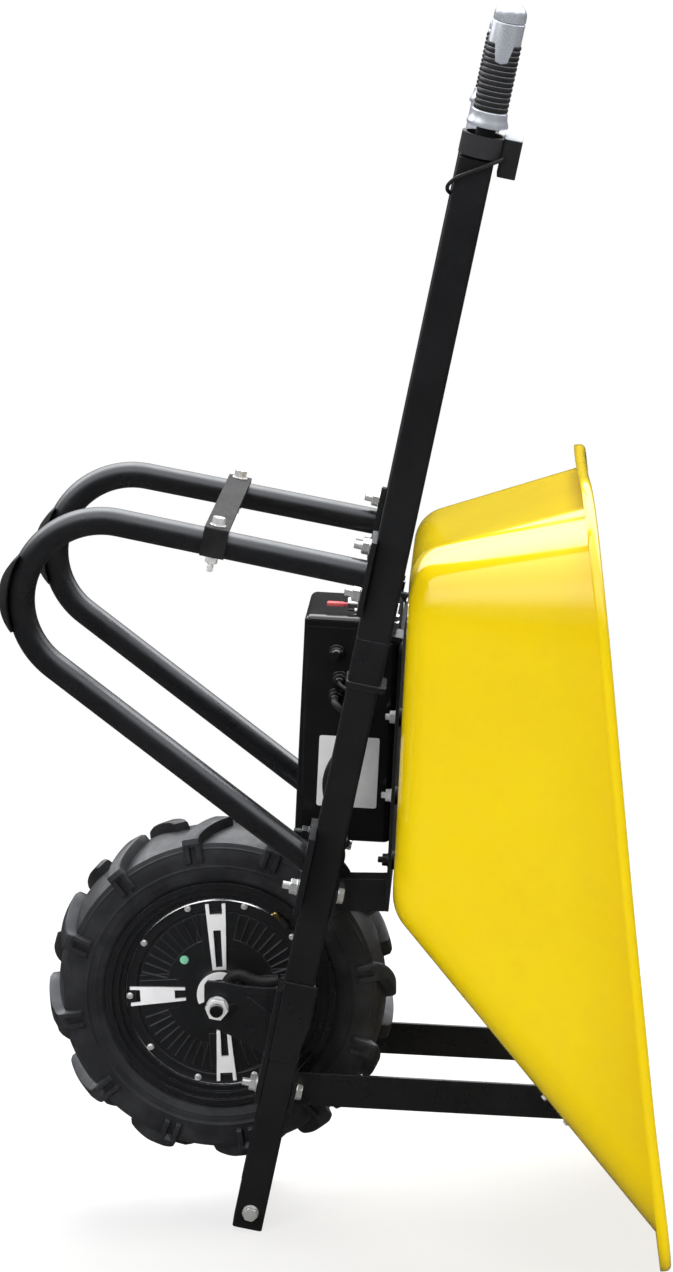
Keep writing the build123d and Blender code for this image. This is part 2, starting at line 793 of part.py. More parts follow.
# Key switch on the lid, its barrel lying along the lid towards the wheel side.
key_height = 11
key_side = -60
barrel_plane = Plane(
    origin=case_plane.from_local_coords((7, key_side, lid_top + key_height)),
    x_dir=case_plane.y_dir,
    z_dir=case_plane.x_dir * -1,
)

with BuildPart() as key_switch:
    with BuildSketch(case_plane.offset(lid_top)):
        with Locations((12, key_side)):
            Rectangle(22, 30)
    extrude(amount=2.5)
    with BuildSketch(case_plane.offset(lid_top)):
        with Locations((8, key_side)):
            Rectangle(3, 30)
    extrude(amount=24)
    rod(at(barrel_plane, 0, 0, -12), 7, 12)
    rod(barrel_plane, 8.5, 14)
    bore(at(barrel_plane, 0, 0, 14), 2 + running_gap, -12)
keep(key_switch, "key_switch")

with BuildPart() as key:
    rod(at(barrel_plane, 0, 0, 3), 2, 12.5)
    with BuildSketch(at(barrel_plane, 0, 0, 15)):
        Rectangle(7, 3.4)
    extrude(amount=4)
    with BuildSketch(at(barrel_plane, 0, 0, 19)):
        RectangleRounded(11, 5, 2)
    extrude(amount=20)
    fillet(key.faces().sort_by(Axis.X)[0].edges(), 2)
keep(key, "key")

# Wheel: everything turns about the axle, which stays with the frame.
wheel_axis = Axis((wheel_x, 0, wheel_z), (0, 1, 0))
wheel_section = Plane(origin=(wheel_x, 0, wheel_z), x_dir=(1, 0, 0), z_dir=(0, 0, 1))
wheel_side = Plane(origin=(wheel_x, 0, wheel_z), x_dir=(1, 0, 0), z_dir=(0, -1, 0))


def both_sides(points):
    return [*points, *[(radius, -side) for radius, side in reversed(points)]]


bead_seat = 128

with BuildPart() as lugs:
    for step in range(2 * lug_count):
        side = 1 if step % 2 else -1
        angle = 180 / lug_count * step + lug_turn
        spot = Location(wheel_side) * Rotation(0, 0, angle)
        with Locations(spot * Pos(carcass_radius, 0, side * 27) * Rotation(side * lug_sweep, 0, 0)):
            Box(34, lug_width, 62)
    with BuildSketch(wheel_section):
        closed_outline(
            both_sides(
                [
                    (carcass_radius - 8, 46),
                    (carcass_radius - 8, tyre_half_width - 1),
                    (carcass_radius + 2, tyre_half_width - 1),
                    (tyre_radius - 4, tyre_half_width - 14),
                    (tyre_radius, tyre_half_width - 40),
                ]
            )
        )
    revolve(axis=wheel_axis, mode=Mode.INTERSECT)

with BuildPart() as tyre:
    with BuildSketch(wheel_section):
        with BuildLine():
            Polyline(
                (rim_radius + 0.8, -41.3),
                (bead_seat + 1.2, -37.6),
                (bead_seat + 1.2, 37.6),
                (rim_radius + 0.8, 41.3),
            )
            ThreePointArc((rim_radius + 0.8, 41.3), (165, tyre_half_width), (189, 47))
            ThreePointArc((189, 47), (carcass_radius, 0), (189, -47))
            ThreePointArc((189, -47), (165, -tyre_half_width), (rim_radius + 0.8, -41.3))
        make_face()
        with Locations((165, 0)):
            Ellipse(*tube_section, mode=Mode.SUBTRACT)
        with Locations((bead_seat, 0)):
            Rectangle(44, 52, mode=Mode.SUBTRACT)
    revolve(axis=wheel_axis)
    add(lugs.part)
keep(tyre, "tyre")

with BuildPart() as inner_tube:
    with BuildSketch(wheel_section):
        with Locations((165, 0)):
            Ellipse(tube_section[0] - 0.4, tube_section[1] - 0.4)
            Ellipse(tube_section[0] - 2.4, tube_section[1] - 2.4, mode=Mode.SUBTRACT)
    revolve(axis=wheel_axis)
keep(inner_tube, "inner_tube")

rim_steps = [
    (housing_bore, 27),
    (cover_radius + 0.2, 27),
    (cover_radius + 0.2, 35),
    (124, 35),
    (124, 41),
    (132, 41),
    (132, rim_half_width),
    (rim_radius, rim_half_width),
    (rim_radius, 42),
    (129, 38.5),
    (bead_seat, 28),
    (122, 18),
]
rim_outline = rim_steps + [(radius, -side) for radius, side in reversed(rim_steps)]

with BuildPart() as rim:
    with BuildSketch(wheel_section):
        closed_outline(rim_outline)
    revolve(axis=wheel_axis)
    for face in (wheel_side.offset(27), wheel_side.offset(-27)):
        with BuildSketch(face):
            with PolarLocations(cover_screw_circle, cover_screw_count, start_angle=cover_screw_turn):
                Circle(2.05)
        extrude(amount=10, both=True, mode=Mode.SUBTRACT)
keep(rim, "rim")

with BuildPart() as magnet_ring:
    with BuildSketch(wheel_side.offset(-21)):
        Circle(housing_bore)
        Circle(100.4, mode=Mode.SUBTRACT)
    extrude(amount=42)
keep(magnet_ring, "magnet_ring")

with BuildPart() as stator:
    with BuildSketch(wheel_side.offset(-18)):
        Circle(99.6)
        Circle(70, mode=Mode.SUBTRACT)
        with PolarLocations(84, 36):
            Rectangle(24, 5, mode=Mode.SUBTRACT)
    extrude(amount=36)
    with BuildSketch(wheel_side.offset(-8)):
        Circle(72)
        Circle(axle_radius, mode=Mode.SUBTRACT)
        with PolarLocations(44, 6):
            Circle(14, mode=Mode.SUBTRACT)
    extrude(amount=16)
keep(stator, "stator")

with BuildPart() as axle:
    rod(wheel_side.offset(-88.9), axle_radius, 177.8)
    rod(wheel_side.offset(-axle_half_length), axle_thread, 2 * axle_half_length)
    chamfer(axle.faces().sort_by(Axis.Y)[0].edges(), 1)
    chamfer(axle.faces().sort_by(Axis.Y)[-1].edges(), 1)
keep(axle, "axle")

with BuildPart() as bearings:
    ring(wheel_side.offset(30), bearing_radius, axle_radius + running_gap, 10)
    ring(wheel_side.offset(-40), bearing_radius, axle_radius + running_gap, 10)
keep(bearings, "wheel_bearings")

cover_outline = [
    (bearing_radius, 28),
    (36, 28),
    (60, 27),
    (cover_radius, 27),
    (cover_radius, cover_face - 1.5),
    (cover_radius - 1.5, cover_face),
    (100, cover_face),
    (98, cover_face - 2.5),
    (34, cover_face - 0.5),
    (31, 43),
    (28, 46),
    (axle_radius + 1, 46),
    (axle_radius + 1, 40.2),
    (bearing_radius, 40.2),
]

with BuildPart() as motor_cover:
    with BuildSketch(wheel_section):
        closed_outline([(radius, -side) for radius, side in cover_outline])
    revolve(axis=wheel_axis)
    with BuildSketch(wheel_side.offset(20)):
        with PolarLocations(cover_screw_circle, cover_screw_count, start_angle=cover_screw_turn):
            Circle(2.2)
    extrude(amount=20, mode=Mode.SUBTRACT)
    with BuildSketch(wheel_side.offset(cover_face - 3)):
        for quarter in range(4):
            with Locations(Rotation(0, 0, spoke_turn + 90 * quarter)):
                with Locations(((spoke_inner + spoke_outer) / 2, 0)):
                    RectangleRounded(spoke_outer - spoke_inner, spoke_width, 4)
    extrude(amount=4.5)
keep_pair(motor_cover, "motor_cover")

with BuildPart() as cover_screws:
    with BuildSketch(wheel_side.offset(cover_face)):
        with PolarLocations(cover_screw_circle, cover_screw_count, start_angle=cover_screw_turn):
            Circle(4.6)
    extrude(amount=3)
    with BuildSketch(wheel_side.offset(cover_face + 3)):
        with PolarLocations(cover_screw_circle, cover_screw_count, start_angle=cover_screw_turn):
            RegularPolygon(2.3, 6)
    extrude(amount=-1.8, mode=Mode.SUBTRACT)
    with BuildSketch(wheel_side.offset(19)):
        with PolarLocations(cover_screw_circle, cover_screw_count, start_angle=cover_screw_turn):
            Circle(2)
    extrude(amount=cover_face - 19)
    mirror(about=Plane.XZ)
keep(cover_screws, "cover_screws")

valve_x = 66.7
valve_z = 100.4
valve_place = at(wheel_side, valve_x, valve_z, 35.1)
valve_aim = Vector(0.66, 0, -0.75)
stem_plane = Plane(origin=valve_place.origin + Vector(0, -7.5, 0), z_dir=valve_aim)

with BuildPart() as valve_stem:
    rod(valve_place, 2.9, 7.5)
    with Locations(stem_plane.origin):
        Sphere(3.4)
    rod(stem_plane, 3.4, 9)
    rod(stem_plane, 2.4, 18)
keep(valve_stem, "valve_stem")

with BuildPart() as valve_cap:
    rod(at(stem_plane, 0, 0, 9.3), 4.3, 12)
    bore(at(stem_plane, 0, 0, 9.3), 2.45, 9)
    fillet(valve_cap.faces().sort_by(Axis((0, 0, 0), valve_aim))[-1].edges(), 1)
keep(valve_cap, "valve_cap")

washer_thickness = 2.5
washer_seat = -axle_plate_y + arm_thickness / 2

with BuildPart() as axle_washers:
    with BuildSketch(wheel_side.offset(washer_seat)):
        Circle(14)
        with Locations((15, -1)):
            RectangleRounded(14, 10, 2)
        Circle(axle_thread + 0.1, mode=Mode.SUBTRACT)
    extrude(amount=washer_thickness)
    mirror(about=Plane.XZ)
keep(axle_washers, "axle_washers")

with BuildPart() as axle_nuts:
    nut_seat = wheel_side.offset(washer_seat + washer_thickness)
    hexagon(nut_seat, 24, 13, axle_thread + 0.05)
    mirror(about=Plane.XZ)
keep(axle_nuts, "axle_nuts")

# Grips on the handle ends: a twist throttle on the right, a plain grip on the left.
display_left = 21.8
display_right = 42.2
display_low = -10.4
display_high = 33.5

with BuildPart() as throttle_housing:
    ring(at(grip_plane, 0, 0, 7), 25.4, stub_radius + 0.05, 24)
    with BuildSketch(at(grip_plane, 0, 0, 31)):
        Circle(21)
    extrude(amount=-8, mode=Mode.SUBTRACT)
    with BuildSketch(at(grip_plane, 0, 0, 10)):
        with Locations((19, 0)):
            Rectangle(display_left - 16.4, 20)
    extrude(amount=17)
    housing_end = grip_plane.origin + rail_across * (display_left - 0.2)
    split(bisect_by=Plane(origin=housing_end, z_dir=rail_across), keep=Keep.BOTTOM)
keep(throttle_housing, "throttle_housing")

with BuildPart() as display_box:
    with BuildSketch(at(grip_plane, 0, 0, display_low)):
        with Locations(((display_left + display_right) / 2, 0)):
            RectangleRounded(display_right - display_left, 34, 3)
    extrude(amount=display_high - display_low - 1.2)
keep(display_box, "display_box")

with BuildPart() as display_window:
    with BuildSketch(at(grip_plane, 0, 0, display_high - 1.2)):
        with Locations(((display_left + display_right) / 2, 0)):
            RectangleRounded(display_right - display_left - 1, 33, 2.5)
    extrude(amount=1.2)
keep(display_window, "display_window")

grip_axis = Axis(grip_plane.origin, grip_plane.z_dir)
grip_profile_plane = Plane(origin=grip_plane.origin, x_dir=grip_plane.x_dir, z_dir=grip_plane.y_dir * -1)
sleeve_profile = [
    (stub_radius + running_gap, grip_flare_start),
    (23, grip_flare_start),
    (23, grip_flare_start + 6),
    (20.5, grip_flare_start + 11),
    (20.5, grip_rubber_start - 0.2),
    (15.5, grip_rubber_start - 0.2),
    (15.5, grip_rubber_end + 0.2),
    (18.2, grip_rubber_end + 0.2),
    (18.2, grip_cap_start - 2),
    (17, grip_cap_start),
    (stub_radius + running_gap, grip_cap_start),
]
rib_step = (grip_rubber_end - grip_rubber_start) / grip_rib_count
rubber_profile = [(15.6, grip_rubber_end), (15.6, grip_rubber_start)]
for rib in range(grip_rib_count):
    base = grip_rubber_start + rib * rib_step
    rubber_profile += [(17.6, base), (19, base + 0.25 * rib_step)]
    rubber_profile += [(19, base + 0.7 * rib_step), (17.6, base + 0.95 * rib_step)]
rubber_profile += [(17.6, grip_rubber_end)]

with BuildPart() as throttle_sleeve:
    with BuildSketch(grip_profile_plane):
        closed_outline(sleeve_profile)
    revolve(axis=grip_axis)
keep(throttle_sleeve, "throttle_sleeve")

with BuildPart() as grip_rubber:
    with BuildSketch(grip_profile_plane):
        closed_outline(rubber_profile)
    revolve(axis=grip_axis)
keep(grip_rubber, "throttle_rubber")

with BuildPart() as grip_cap:
    rod(grip_plane.offset(grip_cap_start + 0.2), 17.8, grip_end - grip_cap_start - 0.2)
    fillet(grip_cap.faces().sort_by(grip_axis)[-1].edges(), 16)
    bore(grip_plane.offset(grip_cap_start), stub_radius + running_gap, 6)
keep(grip_cap, "throttle_cap")

with BuildPart() as plain_grip:
    add(throttle_sleeve.part)
    add(grip_rubber.part)
    grip_bore = stub_radius + running_gap
    ring(grip_plane.offset(4), 20.5, grip_bore, grip_flare_start - 3)
    ring(grip_plane.offset(grip_flare_start), 16.9, grip_bore, left_grip_end - grip_flare_start)
    split(bisect_by=grip_plane.offset(left_grip_end), keep=Keep.BOTTOM)
    rod(grip_plane.offset(left_grip_end - 9.5), 16, 9.5)
    fillet(plain_grip.faces().sort_by(grip_axis)[-1].edges(), 8)

with BuildPart() as left_grip:
    mirror(plain_grip.part, about=Plane.XZ)
keep(left_grip, "left_grip")


# Cables. The motor cable leaves the axle through a boot and climbs behind the right rail.
def from_wheel(x, y, z):
    return (wheel_x + x, y, wheel_z + z)


boot_points = [
    from_wheel(3.95, -64, 8.5),
    from_wheel(17, -65, 36),
    from_wheel(50, -70, 22),
    from_wheel(74, -76, 28),
]
cable(boot_points, 7, "cable_boot")

motor_tail = at(case_front, *plug_places[2], plug_length + 0.2)
motor_points = [
    from_wheel(74.3, -76.08, 28.08),
    from_wheel(90, -80, 32),
    from_wheel(109, -90, 92),
    from_wheel(121, -97, 156),
    from_wheel(153, -100, 180),
    from_wheel(136, -103, 236),
    from_wheel(126.5, -106, 283),
    from_wheel(153, -111, 330),
    from_wheel(160, -123, 360),
    (motor_tail.origin.X, -127, motor_tail.origin.Z),
    tuple(motor_tail.origin),
]
cable(motor_points, 4, "motor_cable")

throttle_tail = at(case_front, *plug_places[1], plug_length + 0.2)
handle_frame = rail_section(handle_top)
throttle_points = [
    tuple(handle_frame.from_local_coords(point))
    for point in (
        (27.5, -17.2, 11),
        (27.5, -25, 11),
        (-19, -24.5, -19),
        (-26, -19, -30),
        (-24, -4, -40),
        (-8, 4, -46),
        (0, 9, -62),
    )
]
throttle_points += [
    tuple(rail_point(682, 0, 9)),
    tuple(rail_point(660, 0, 30)),
    (throttle_tail.origin.X, -116, throttle_tail.origin.Z),
    tuple(throttle_tail.origin),
]
cable(throttle_points, 2.2, "throttle_cable")
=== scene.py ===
import math

import bpy
import numpy as np
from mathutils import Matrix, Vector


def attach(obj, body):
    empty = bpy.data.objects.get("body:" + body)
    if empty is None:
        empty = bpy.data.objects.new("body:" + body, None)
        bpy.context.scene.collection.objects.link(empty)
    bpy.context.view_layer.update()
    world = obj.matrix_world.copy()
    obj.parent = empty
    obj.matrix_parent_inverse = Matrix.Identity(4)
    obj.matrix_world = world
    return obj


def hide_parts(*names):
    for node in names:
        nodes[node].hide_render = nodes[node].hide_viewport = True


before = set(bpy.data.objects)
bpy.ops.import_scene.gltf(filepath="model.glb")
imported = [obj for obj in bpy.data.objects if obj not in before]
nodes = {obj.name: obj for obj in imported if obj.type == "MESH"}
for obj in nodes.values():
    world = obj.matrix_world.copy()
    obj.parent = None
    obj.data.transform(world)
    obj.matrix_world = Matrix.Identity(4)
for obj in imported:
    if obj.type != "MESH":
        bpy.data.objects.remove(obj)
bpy.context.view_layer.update()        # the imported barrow, fixed: new pieces are built around it
scene = bpy.context.scene
mm = 0.001               # shapes are worked out in millimetres and scaled once, on their way into a mesh
print("frame loaded,", len(nodes), "nodes")


# Arrays to meshes
def gridQuads(rows, cols, wrapRows=False, wrapCols=True):
    # quads between the neighbours of a rows x cols grid of points
    r = np.arange(rows if wrapRows else rows - 1)[:, None]
    c = np.arange(cols if wrapCols else cols - 1)[None, :]
    r2, c2 = (r + 1) % rows, (c + 1) % cols
    corners = np.broadcast_arrays(r * cols + c, r * cols + c2, r2 * cols + c2, r2 * cols + c)
    return np.stack(corners, -1).reshape(-1, 4)


def tubes(points, wrapRows=False, caps=True):
    # points is copies x rows x cols x 3: each copy is closed round its columns,
    # with a flat cap on its first and last row
    points = points if points.ndim == 4 else points[None]
    copies, rows, cols = points.shape[:3]
    step = np.arange(copies)[:, None, None] * rows * cols
    faces = [(gridQuads(rows, cols, wrapRows)[None] + step).reshape(-1, 4)]
    if caps and not wrapRows:
        ring = np.arange(cols)
        ends = np.stack([ring[::-1], ring + (rows - 1) * cols])
        faces.append((ends[None] + step).reshape(-1, cols))
    return points.reshape(-1, 3), faces


def lattice(bottom, top, solid):
    # a plate cut from a grid of cells: bottom and top are (n+1) x (m+1) x 3,
    # solid is the n x m mask of cells that stay
    n, m = solid.shape
    index = np.arange((n + 1) * (m + 1)).reshape(n + 1, m + 1)
    lift = index.size
    padded = np.pad(solid, 1)
    i, j = np.nonzero(solid)
    a, b, c, d = index[i, j], index[i, j + 1], index[i + 1, j + 1], index[i + 1, j]
    faces = [np.stack([a, b, c, d], 1) + lift, np.stack([d, c, b, a], 1)]
    for start, end, di, dj in ((a, b, -1, 0), (b, c, 0, 1), (c, d, 1, 0), (d, a, 0, -1)):
        free = ~padded[i + 1 + di, j + 1 + dj]
        faces.append(np.stack([start, end, end + lift, start + lift], 1)[free])
    used, small = np.unique(np.concatenate([f.ravel() for f in faces]), return_inverse=True)
    sizes = np.cumsum([0] + [f.size for f in faces])
    faces = [small[s:e].reshape(-1, 4) for s, e in zip(sizes, sizes[1:])]
    return np.concatenate([bottom.reshape(-1, 3), top.reshape(-1, 3)])[used], faces


def enclosed(verts, faces):
    # volume of a closed shell, positive where its faces point outwards
    total = 0.0
    for f in faces:
        for k in range(1, f.shape[1] - 1):
            total += np.einsum("ij,ij->", verts[f[:, 0]], np.cross(verts[f[:, k]], verts[f[:, k + 1]]))
    return total / 6


def joined(shells):
    # several closed shells as one set of points and faces, each turned outwards
    verts, faces, start = [], [], 0
    for v, fs in shells:
        flip = enclosed(v - v.mean(0), fs) < 0
        faces += [(f[:, ::-1] if flip else f) + start for f in fs]
        verts.append(v)
        start += len(v)
    return np.concatenate(verts), faces


def putMesh(name, verts, faces, material, body, stands=(), slotName=None, sharp=32):
    sizes = np.concatenate([np.full(len(f), f.shape[1]) for f in faces])
    corners = np.concatenate([f.ravel() for f in faces])
    mesh = bpy.data.meshes.new(name)
    mesh.vertices.add(len(verts))
    mesh.vertices.foreach_set("co", (verts * mm).astype(np.float32).ravel())
    mesh.loops.add(len(corners))
    mesh.loops.foreach_set("vertex_index", corners.astype(np.int32))
    mesh.polygons.add(len(sizes))
    mesh.polygons.foreach_set("loop_start", (np.cumsum(sizes) - sizes).astype(np.int32))
    mesh.update(calc_edges=True)
    mesh.validate()
    mesh.shade_smooth()
    mesh.set_sharp_from_angle(angle=math.radians(sharp))
    mesh.materials.append(material)
    piece = bpy.data.objects.new(name, mesh)
    scene.collection.objects.link(piece)
    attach(piece, body)
    if stands:
        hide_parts(*stands)
    return piece


def putShells(name, shells, material, body, stands=(), slotName=None, sharp=32, bevel=0.0):
    piece = putMesh(name, *joined(shells), material, body, stands, slotName, sharp)
    if bevel:
        edge = piece.modifiers.new("edges", "BEVEL")
        edge.width = bevel * mm
        edge.segments = 2
        edge.limit_method = "ANGLE"
        edge.angle_limit = math.radians(40)
        edge.harden_normals = True
    return piece


def unit(v):
    return v / np.linalg.norm(v, axis=-1, keepdims=True)


def ease(t):
    # smooth step from 0 to 1
    t = np.clip(t, 0, 1)
    return t * t * (3 - 2 * t)


# Material nodes
def newLook(name):
    look = bpy.data.materials.new(name)
    look.use_nodes = True
    return look, look.node_tree, look.node_tree.nodes["Principled BSDF"]


def put(tree, kind, inputs=None, **settings):
    made = tree.nodes.new(kind)
    for key, value in settings.items():
        setattr(made, key, value)
    for key, value in (inputs or {}).items():
        if isinstance(value, bpy.types.NodeSocket):
            tree.links.new(value, made.inputs[key])
        else:
            made.inputs[key].default_value = value
    return made


def fill(tree, shader, **inputs):
    for key, value in inputs.items():
        socket = shader.inputs[key.replace("_", " ")]
        if isinstance(value, bpy.types.NodeSocket):
            tree.links.new(value, socket)
        else:
            socket.default_value = value


def place(tree, scale=(1, 1, 1), turn=(0, 0, 0), shift=(0, 0, 0)):
    where = put(tree, "ShaderNodeTexCoord").outputs["Object"]
    inputs = {"Vector": where, "Scale": scale, "Rotation": turn, "Location": shift}
    return put(tree, "ShaderNodeMapping", inputs).outputs[0]


def noise(tree, scale, detail=3.0, rough=0.55, where=None):
    where = where or put(tree, "ShaderNodeTexCoord").outputs["Object"]
    inputs = {"Vector": where, "Scale": scale, "Detail": detail, "Roughness": rough}
    return put(tree, "ShaderNodeTexNoise", inputs).outputs[0]


def ramp(tree, value, low, high, start=0.35, stop=0.65, smooth=False):
    kind = "SMOOTHSTEP" if smooth else "LINEAR"
    inputs = {"Value": value, "From Min": start, "From Max": stop, "To Min": low, "To Max": high}
    return put(tree, "ShaderNodeMapRange", inputs, interpolation_type=kind).outputs[0]


def mixed(tree, amount, first, second):
    # colour that goes from first to second as amount goes from 0 to 1
    first, second = (c if isinstance(c, bpy.types.NodeSocket) else (*c, 1) for c in (first, second))
    return put(tree, "ShaderNodeMix", {0: amount, 6: first, 7: second}, data_type="RGBA").outputs[2]


def times(tree, a, b, operation="MULTIPLY"):
    # two values multiplied, or joined by another operation
    return put(tree, "ShaderNodeMath", {0: a, 1: b}, operation=operation).outputs[0]


def bumped(tree, height, depth, normal=None, strength=1.0):
    inputs = {"Height": height, "Distance": depth, "Strength": strength}
    if normal is not None:
        inputs["Normal"] = normal
    return put(tree, "ShaderNodeBump", inputs).outputs[0]


def softEdge(tree, radius):
    return put(tree, "ShaderNodeBevel", {"Radius": radius}, samples=4).outputs[0]


def edgeWearAndHighlight(tree, soft):
    # 1 along hard edges and 0 on open faces: how far the rounded normal leaves the true one; it places the paler edges,
    #                                         partly wear and partly painted highlight
    true = put(tree, "ShaderNodeNewGeometry").outputs["Normal"]
    dot = put(tree, "ShaderNodeVectorMath", {0: soft, 1: true}, operation="DOT_PRODUCT").outputs["Value"]
    return ramp(tree, dot, 1.0, 0.0, 0.80, 0.99)


# Finishes
# tint makes the reflections bluish: a painted cool tint standing in for the colour of the studio light
blackPaint = {
    "colour": (0.0085, 0.0085, 0.0092), "cloud": 1.4, "edge": (0.055, 0.055, 0.058), "dust": (0.30, 0.29, 0.27),
    "peel": 1500, "tint": (0.90, 0.94, 1.0, 1),
}


def blackPaintLook(name, rough, wearAndHighlight, level=0.8):
    # powder coat: faint clouds, a breath of dust, paler along the edges, partly as wear and partly as a painted edge
    # highlight
    look, tree, shader = newLook(name)
    soft = softEdge(tree, 0.0009)
    edge = times(tree, edgeWearAndHighlight(tree, soft), ramp(tree, noise(tree, 140, 5), 0.15, 1.0))
    dust = ramp(tree, noise(tree, 75, 5, 0.7), 0, 1, 0.55, 0.75, True)
    paler = tuple(blackPaint["cloud"] * c for c in blackPaint["colour"])
    body = mixed(tree, ramp(tree, noise(tree, 9, 4), 0, 1), blackPaint["colour"], paler)
    # paler edge colour mixed in along hard edges: partly wear, partly a painted highlight where edges would catch light
    body = mixed(tree, times(tree, edge, wearAndHighlight), body, blackPaint["edge"])
    body = mixed(tree, times(tree, dust, 0.012), body, blackPaint["dust"])
    shine = ramp(tree, noise(tree, 55, 5), *rough)
    peel = bumped(tree, noise(tree, blackPaint["peel"], 2), 0.000012, soft)
    fill(tree, shader, Base_Color=body, Roughness=shine, Normal=peel)
    # bluish reflection tint: painted cool light, not the paint's own
    fill(tree, shader, Specular_IOR_Level=level, Specular_Tint=blackPaint["tint"])
    return look


yellowPaint = {
    "colour": (0.88, 0.645, 0.004), "deep": (0.86, 0.615, 0.004), "scuff": (0.93, 0.84, 0.45),
    "rough": (0.10, 0.15), "peel": 300, "coat": 0.4, "coatRough": 0.06,
}


def yellowPaintLook():
    # gloss powder coat: broad clouds, faint scuffs along X and a light orange peel under a thin clear coat
    look, tree, shader = newLook("yellow_powder_coat")
    cloud = noise(tree, 5, 3)
    body = mixed(tree, ramp(tree, cloud, 0, 1), yellowPaint["colour"], yellowPaint["deep"])
    scuffs = place(tree, (14, 150, 150))
    scratch = ramp(tree, noise(tree, 3, 6, 0.65, scuffs), 0, 1, 0.66, 0.74)
    body = mixed(tree, times(tree, scratch, 0.05), body, yellowPaint["scuff"])
    shine = ramp(tree, noise(tree, 40, 5), *yellowPaint["rough"])
    rough = times(tree, shine, times(tree, scratch, 0.06), "ADD")
    peel = bumped(tree, noise(tree, yellowPaint["peel"], 2), 0.00005)
    fill(tree, shader, Base_Color=body, Roughness=rough, Normal=peel)
    fill(tree, shader, Coat_Weight=yellowPaint["coat"], Coat_Roughness=yellowPaint["coatRough"])
    return look


def metalLook(name, colour, other, rough, grain=900.0, stretch=(1, 1, 1), depth=0.000004, metal=1.0):
    # bright metal: patchy tint, fine brushed or plated grain, soft worn edges
    look, tree, shader = newLook(name)
    soft = softEdge(tree, 0.0005)
    tint = mixed(tree, ramp(tree, noise(tree, 60, 4), 0, 1), colour, other)
    fine = noise(tree, grain, 3, 0.6, place(tree, stretch))
    rough = ramp(tree, fine, *rough)
    fill(tree, shader, Base_Color=tint, Metallic=metal, Roughness=rough, Normal=bumped(tree, fine, depth, soft))
    return look


def plainLook(name, colour, other, rough, grain, depth, level=0.5):
    # moulded plastic or rubber: slight patches, fine grain and soft edges
    look, tree, shader = newLook(name)
    soft = softEdge(tree, 0.0006)
    tint = mixed(tree, ramp(tree, noise(tree, 30, 5), 0, 1), colour, other)
    fine = noise(tree, grain, 4, 0.6)
    rough = ramp(tree, noise(tree, grain * 0.13, 4), *rough)
    normal = bumped(tree, fine, depth, soft)
    fill(tree, shader, Base_Color=tint, Roughness=rough, Normal=normal, Specular_IOR_Level=level)
    return look


silverPaint = {"colour": (0.93, 0.93, 0.95), "other": (0.87, 0.87, 0.89), "rough": (0.34, 0.46), "metal": 0.10}


def silverPaintLook():
    # silver lacquer on machined faces: mostly matt, with fine turning marks
    look, tree, shader = newLook("silver_lacquer")
    soft = softEdge(tree, 0.0005)
    tint = mixed(tree, ramp(tree, noise(tree, 45, 5), 0, 1), silverPaint["colour"], silverPaint["other"])
    fine = noise(tree, 500, 3, 0.6, place(tree, (1, 5, 5)))
    rough = ramp(tree, fine, *silverPaint["rough"])
    normal = bumped(tree, fine, 0.000006, soft)
    fill(tree, shader, Base_Color=tint, Metallic=silverPaint["metal"], Roughness=rough, Normal=normal)
    return look


# tint makes the rubber's reflections bluish: a painted cool tint standing in for the colour of the studio light
tyreLook = {
    "colour": (0.018, 0.0182, 0.0198), "dusty": (0.035, 0.0355, 0.0385), "rough": (0.36, 0.50), "grain": 900,
    "tint": (0.91, 0.94, 1.0, 1), "toAxle": (0.148, 0, -0.28), "shine": (0.2, 0.48), "shineReach": (0.155, 0.178),
}


def tyreRubberLook():
    look, tree, shader = newLook("tyre_rubber")
    cloud = ramp(tree, noise(tree, 24, 6, 0.65), 0, 1, 0.42, 0.70)
    fine = noise(tree, tyreLook["grain"], 4, 0.65)
    body = mixed(tree, cloud, tyreLook["colour"], tyreLook["dusty"])
    rough = ramp(tree, noise(tree, 110, 4), *tyreLook["rough"])
    # duller towards the rim, by distance from the axle
    spot = place(tree, (1, 0, 1), shift=tyreLook["toAxle"])
    fromAxle = put(tree, "ShaderNodeVectorMath", {0: spot}, operation="LENGTH").outputs["Value"]
    level = ramp(tree, fromAxle, *tyreLook["shine"], *tyreLook["shineReach"])
    fill(tree, shader, Base_Color=body, Roughness=rough, Normal=bumped(tree, fine, 0.00005))
    # bluish reflection tint: painted cool light, not the rubber's own
    fill(tree, shader, Specular_IOR_Level=level, Specular_Tint=tyreLook["tint"])
    return look


# the third number sets how strongly edges turn paler: partly wear, partly a painted edge highlight, strongest on the
# collars, cheeks, brackets, motor covers and rim
blackCoat = blackPaintLook("black_powder_coat", (0.26, 0.36), 0.5)
edgedCoat = blackPaintLook("black_coat_edge_wear_and_painted_highlight", (0.26, 0.36), 2.0)
railCoat = blackPaintLook("black_rail_coat", (0.42, 0.55), 0.5, 0.3)
castAlloy = blackPaintLook("black_cast_alloy", (0.30, 0.42), 2.6)
rimAlloy = blackPaintLook("black_rim", (0.18, 0.28), 1.2, 1.0)
yellowCoat = yellowPaintLook()
brightAlloy = silverPaintLook()
tyreRubber = tyreRubberLook()

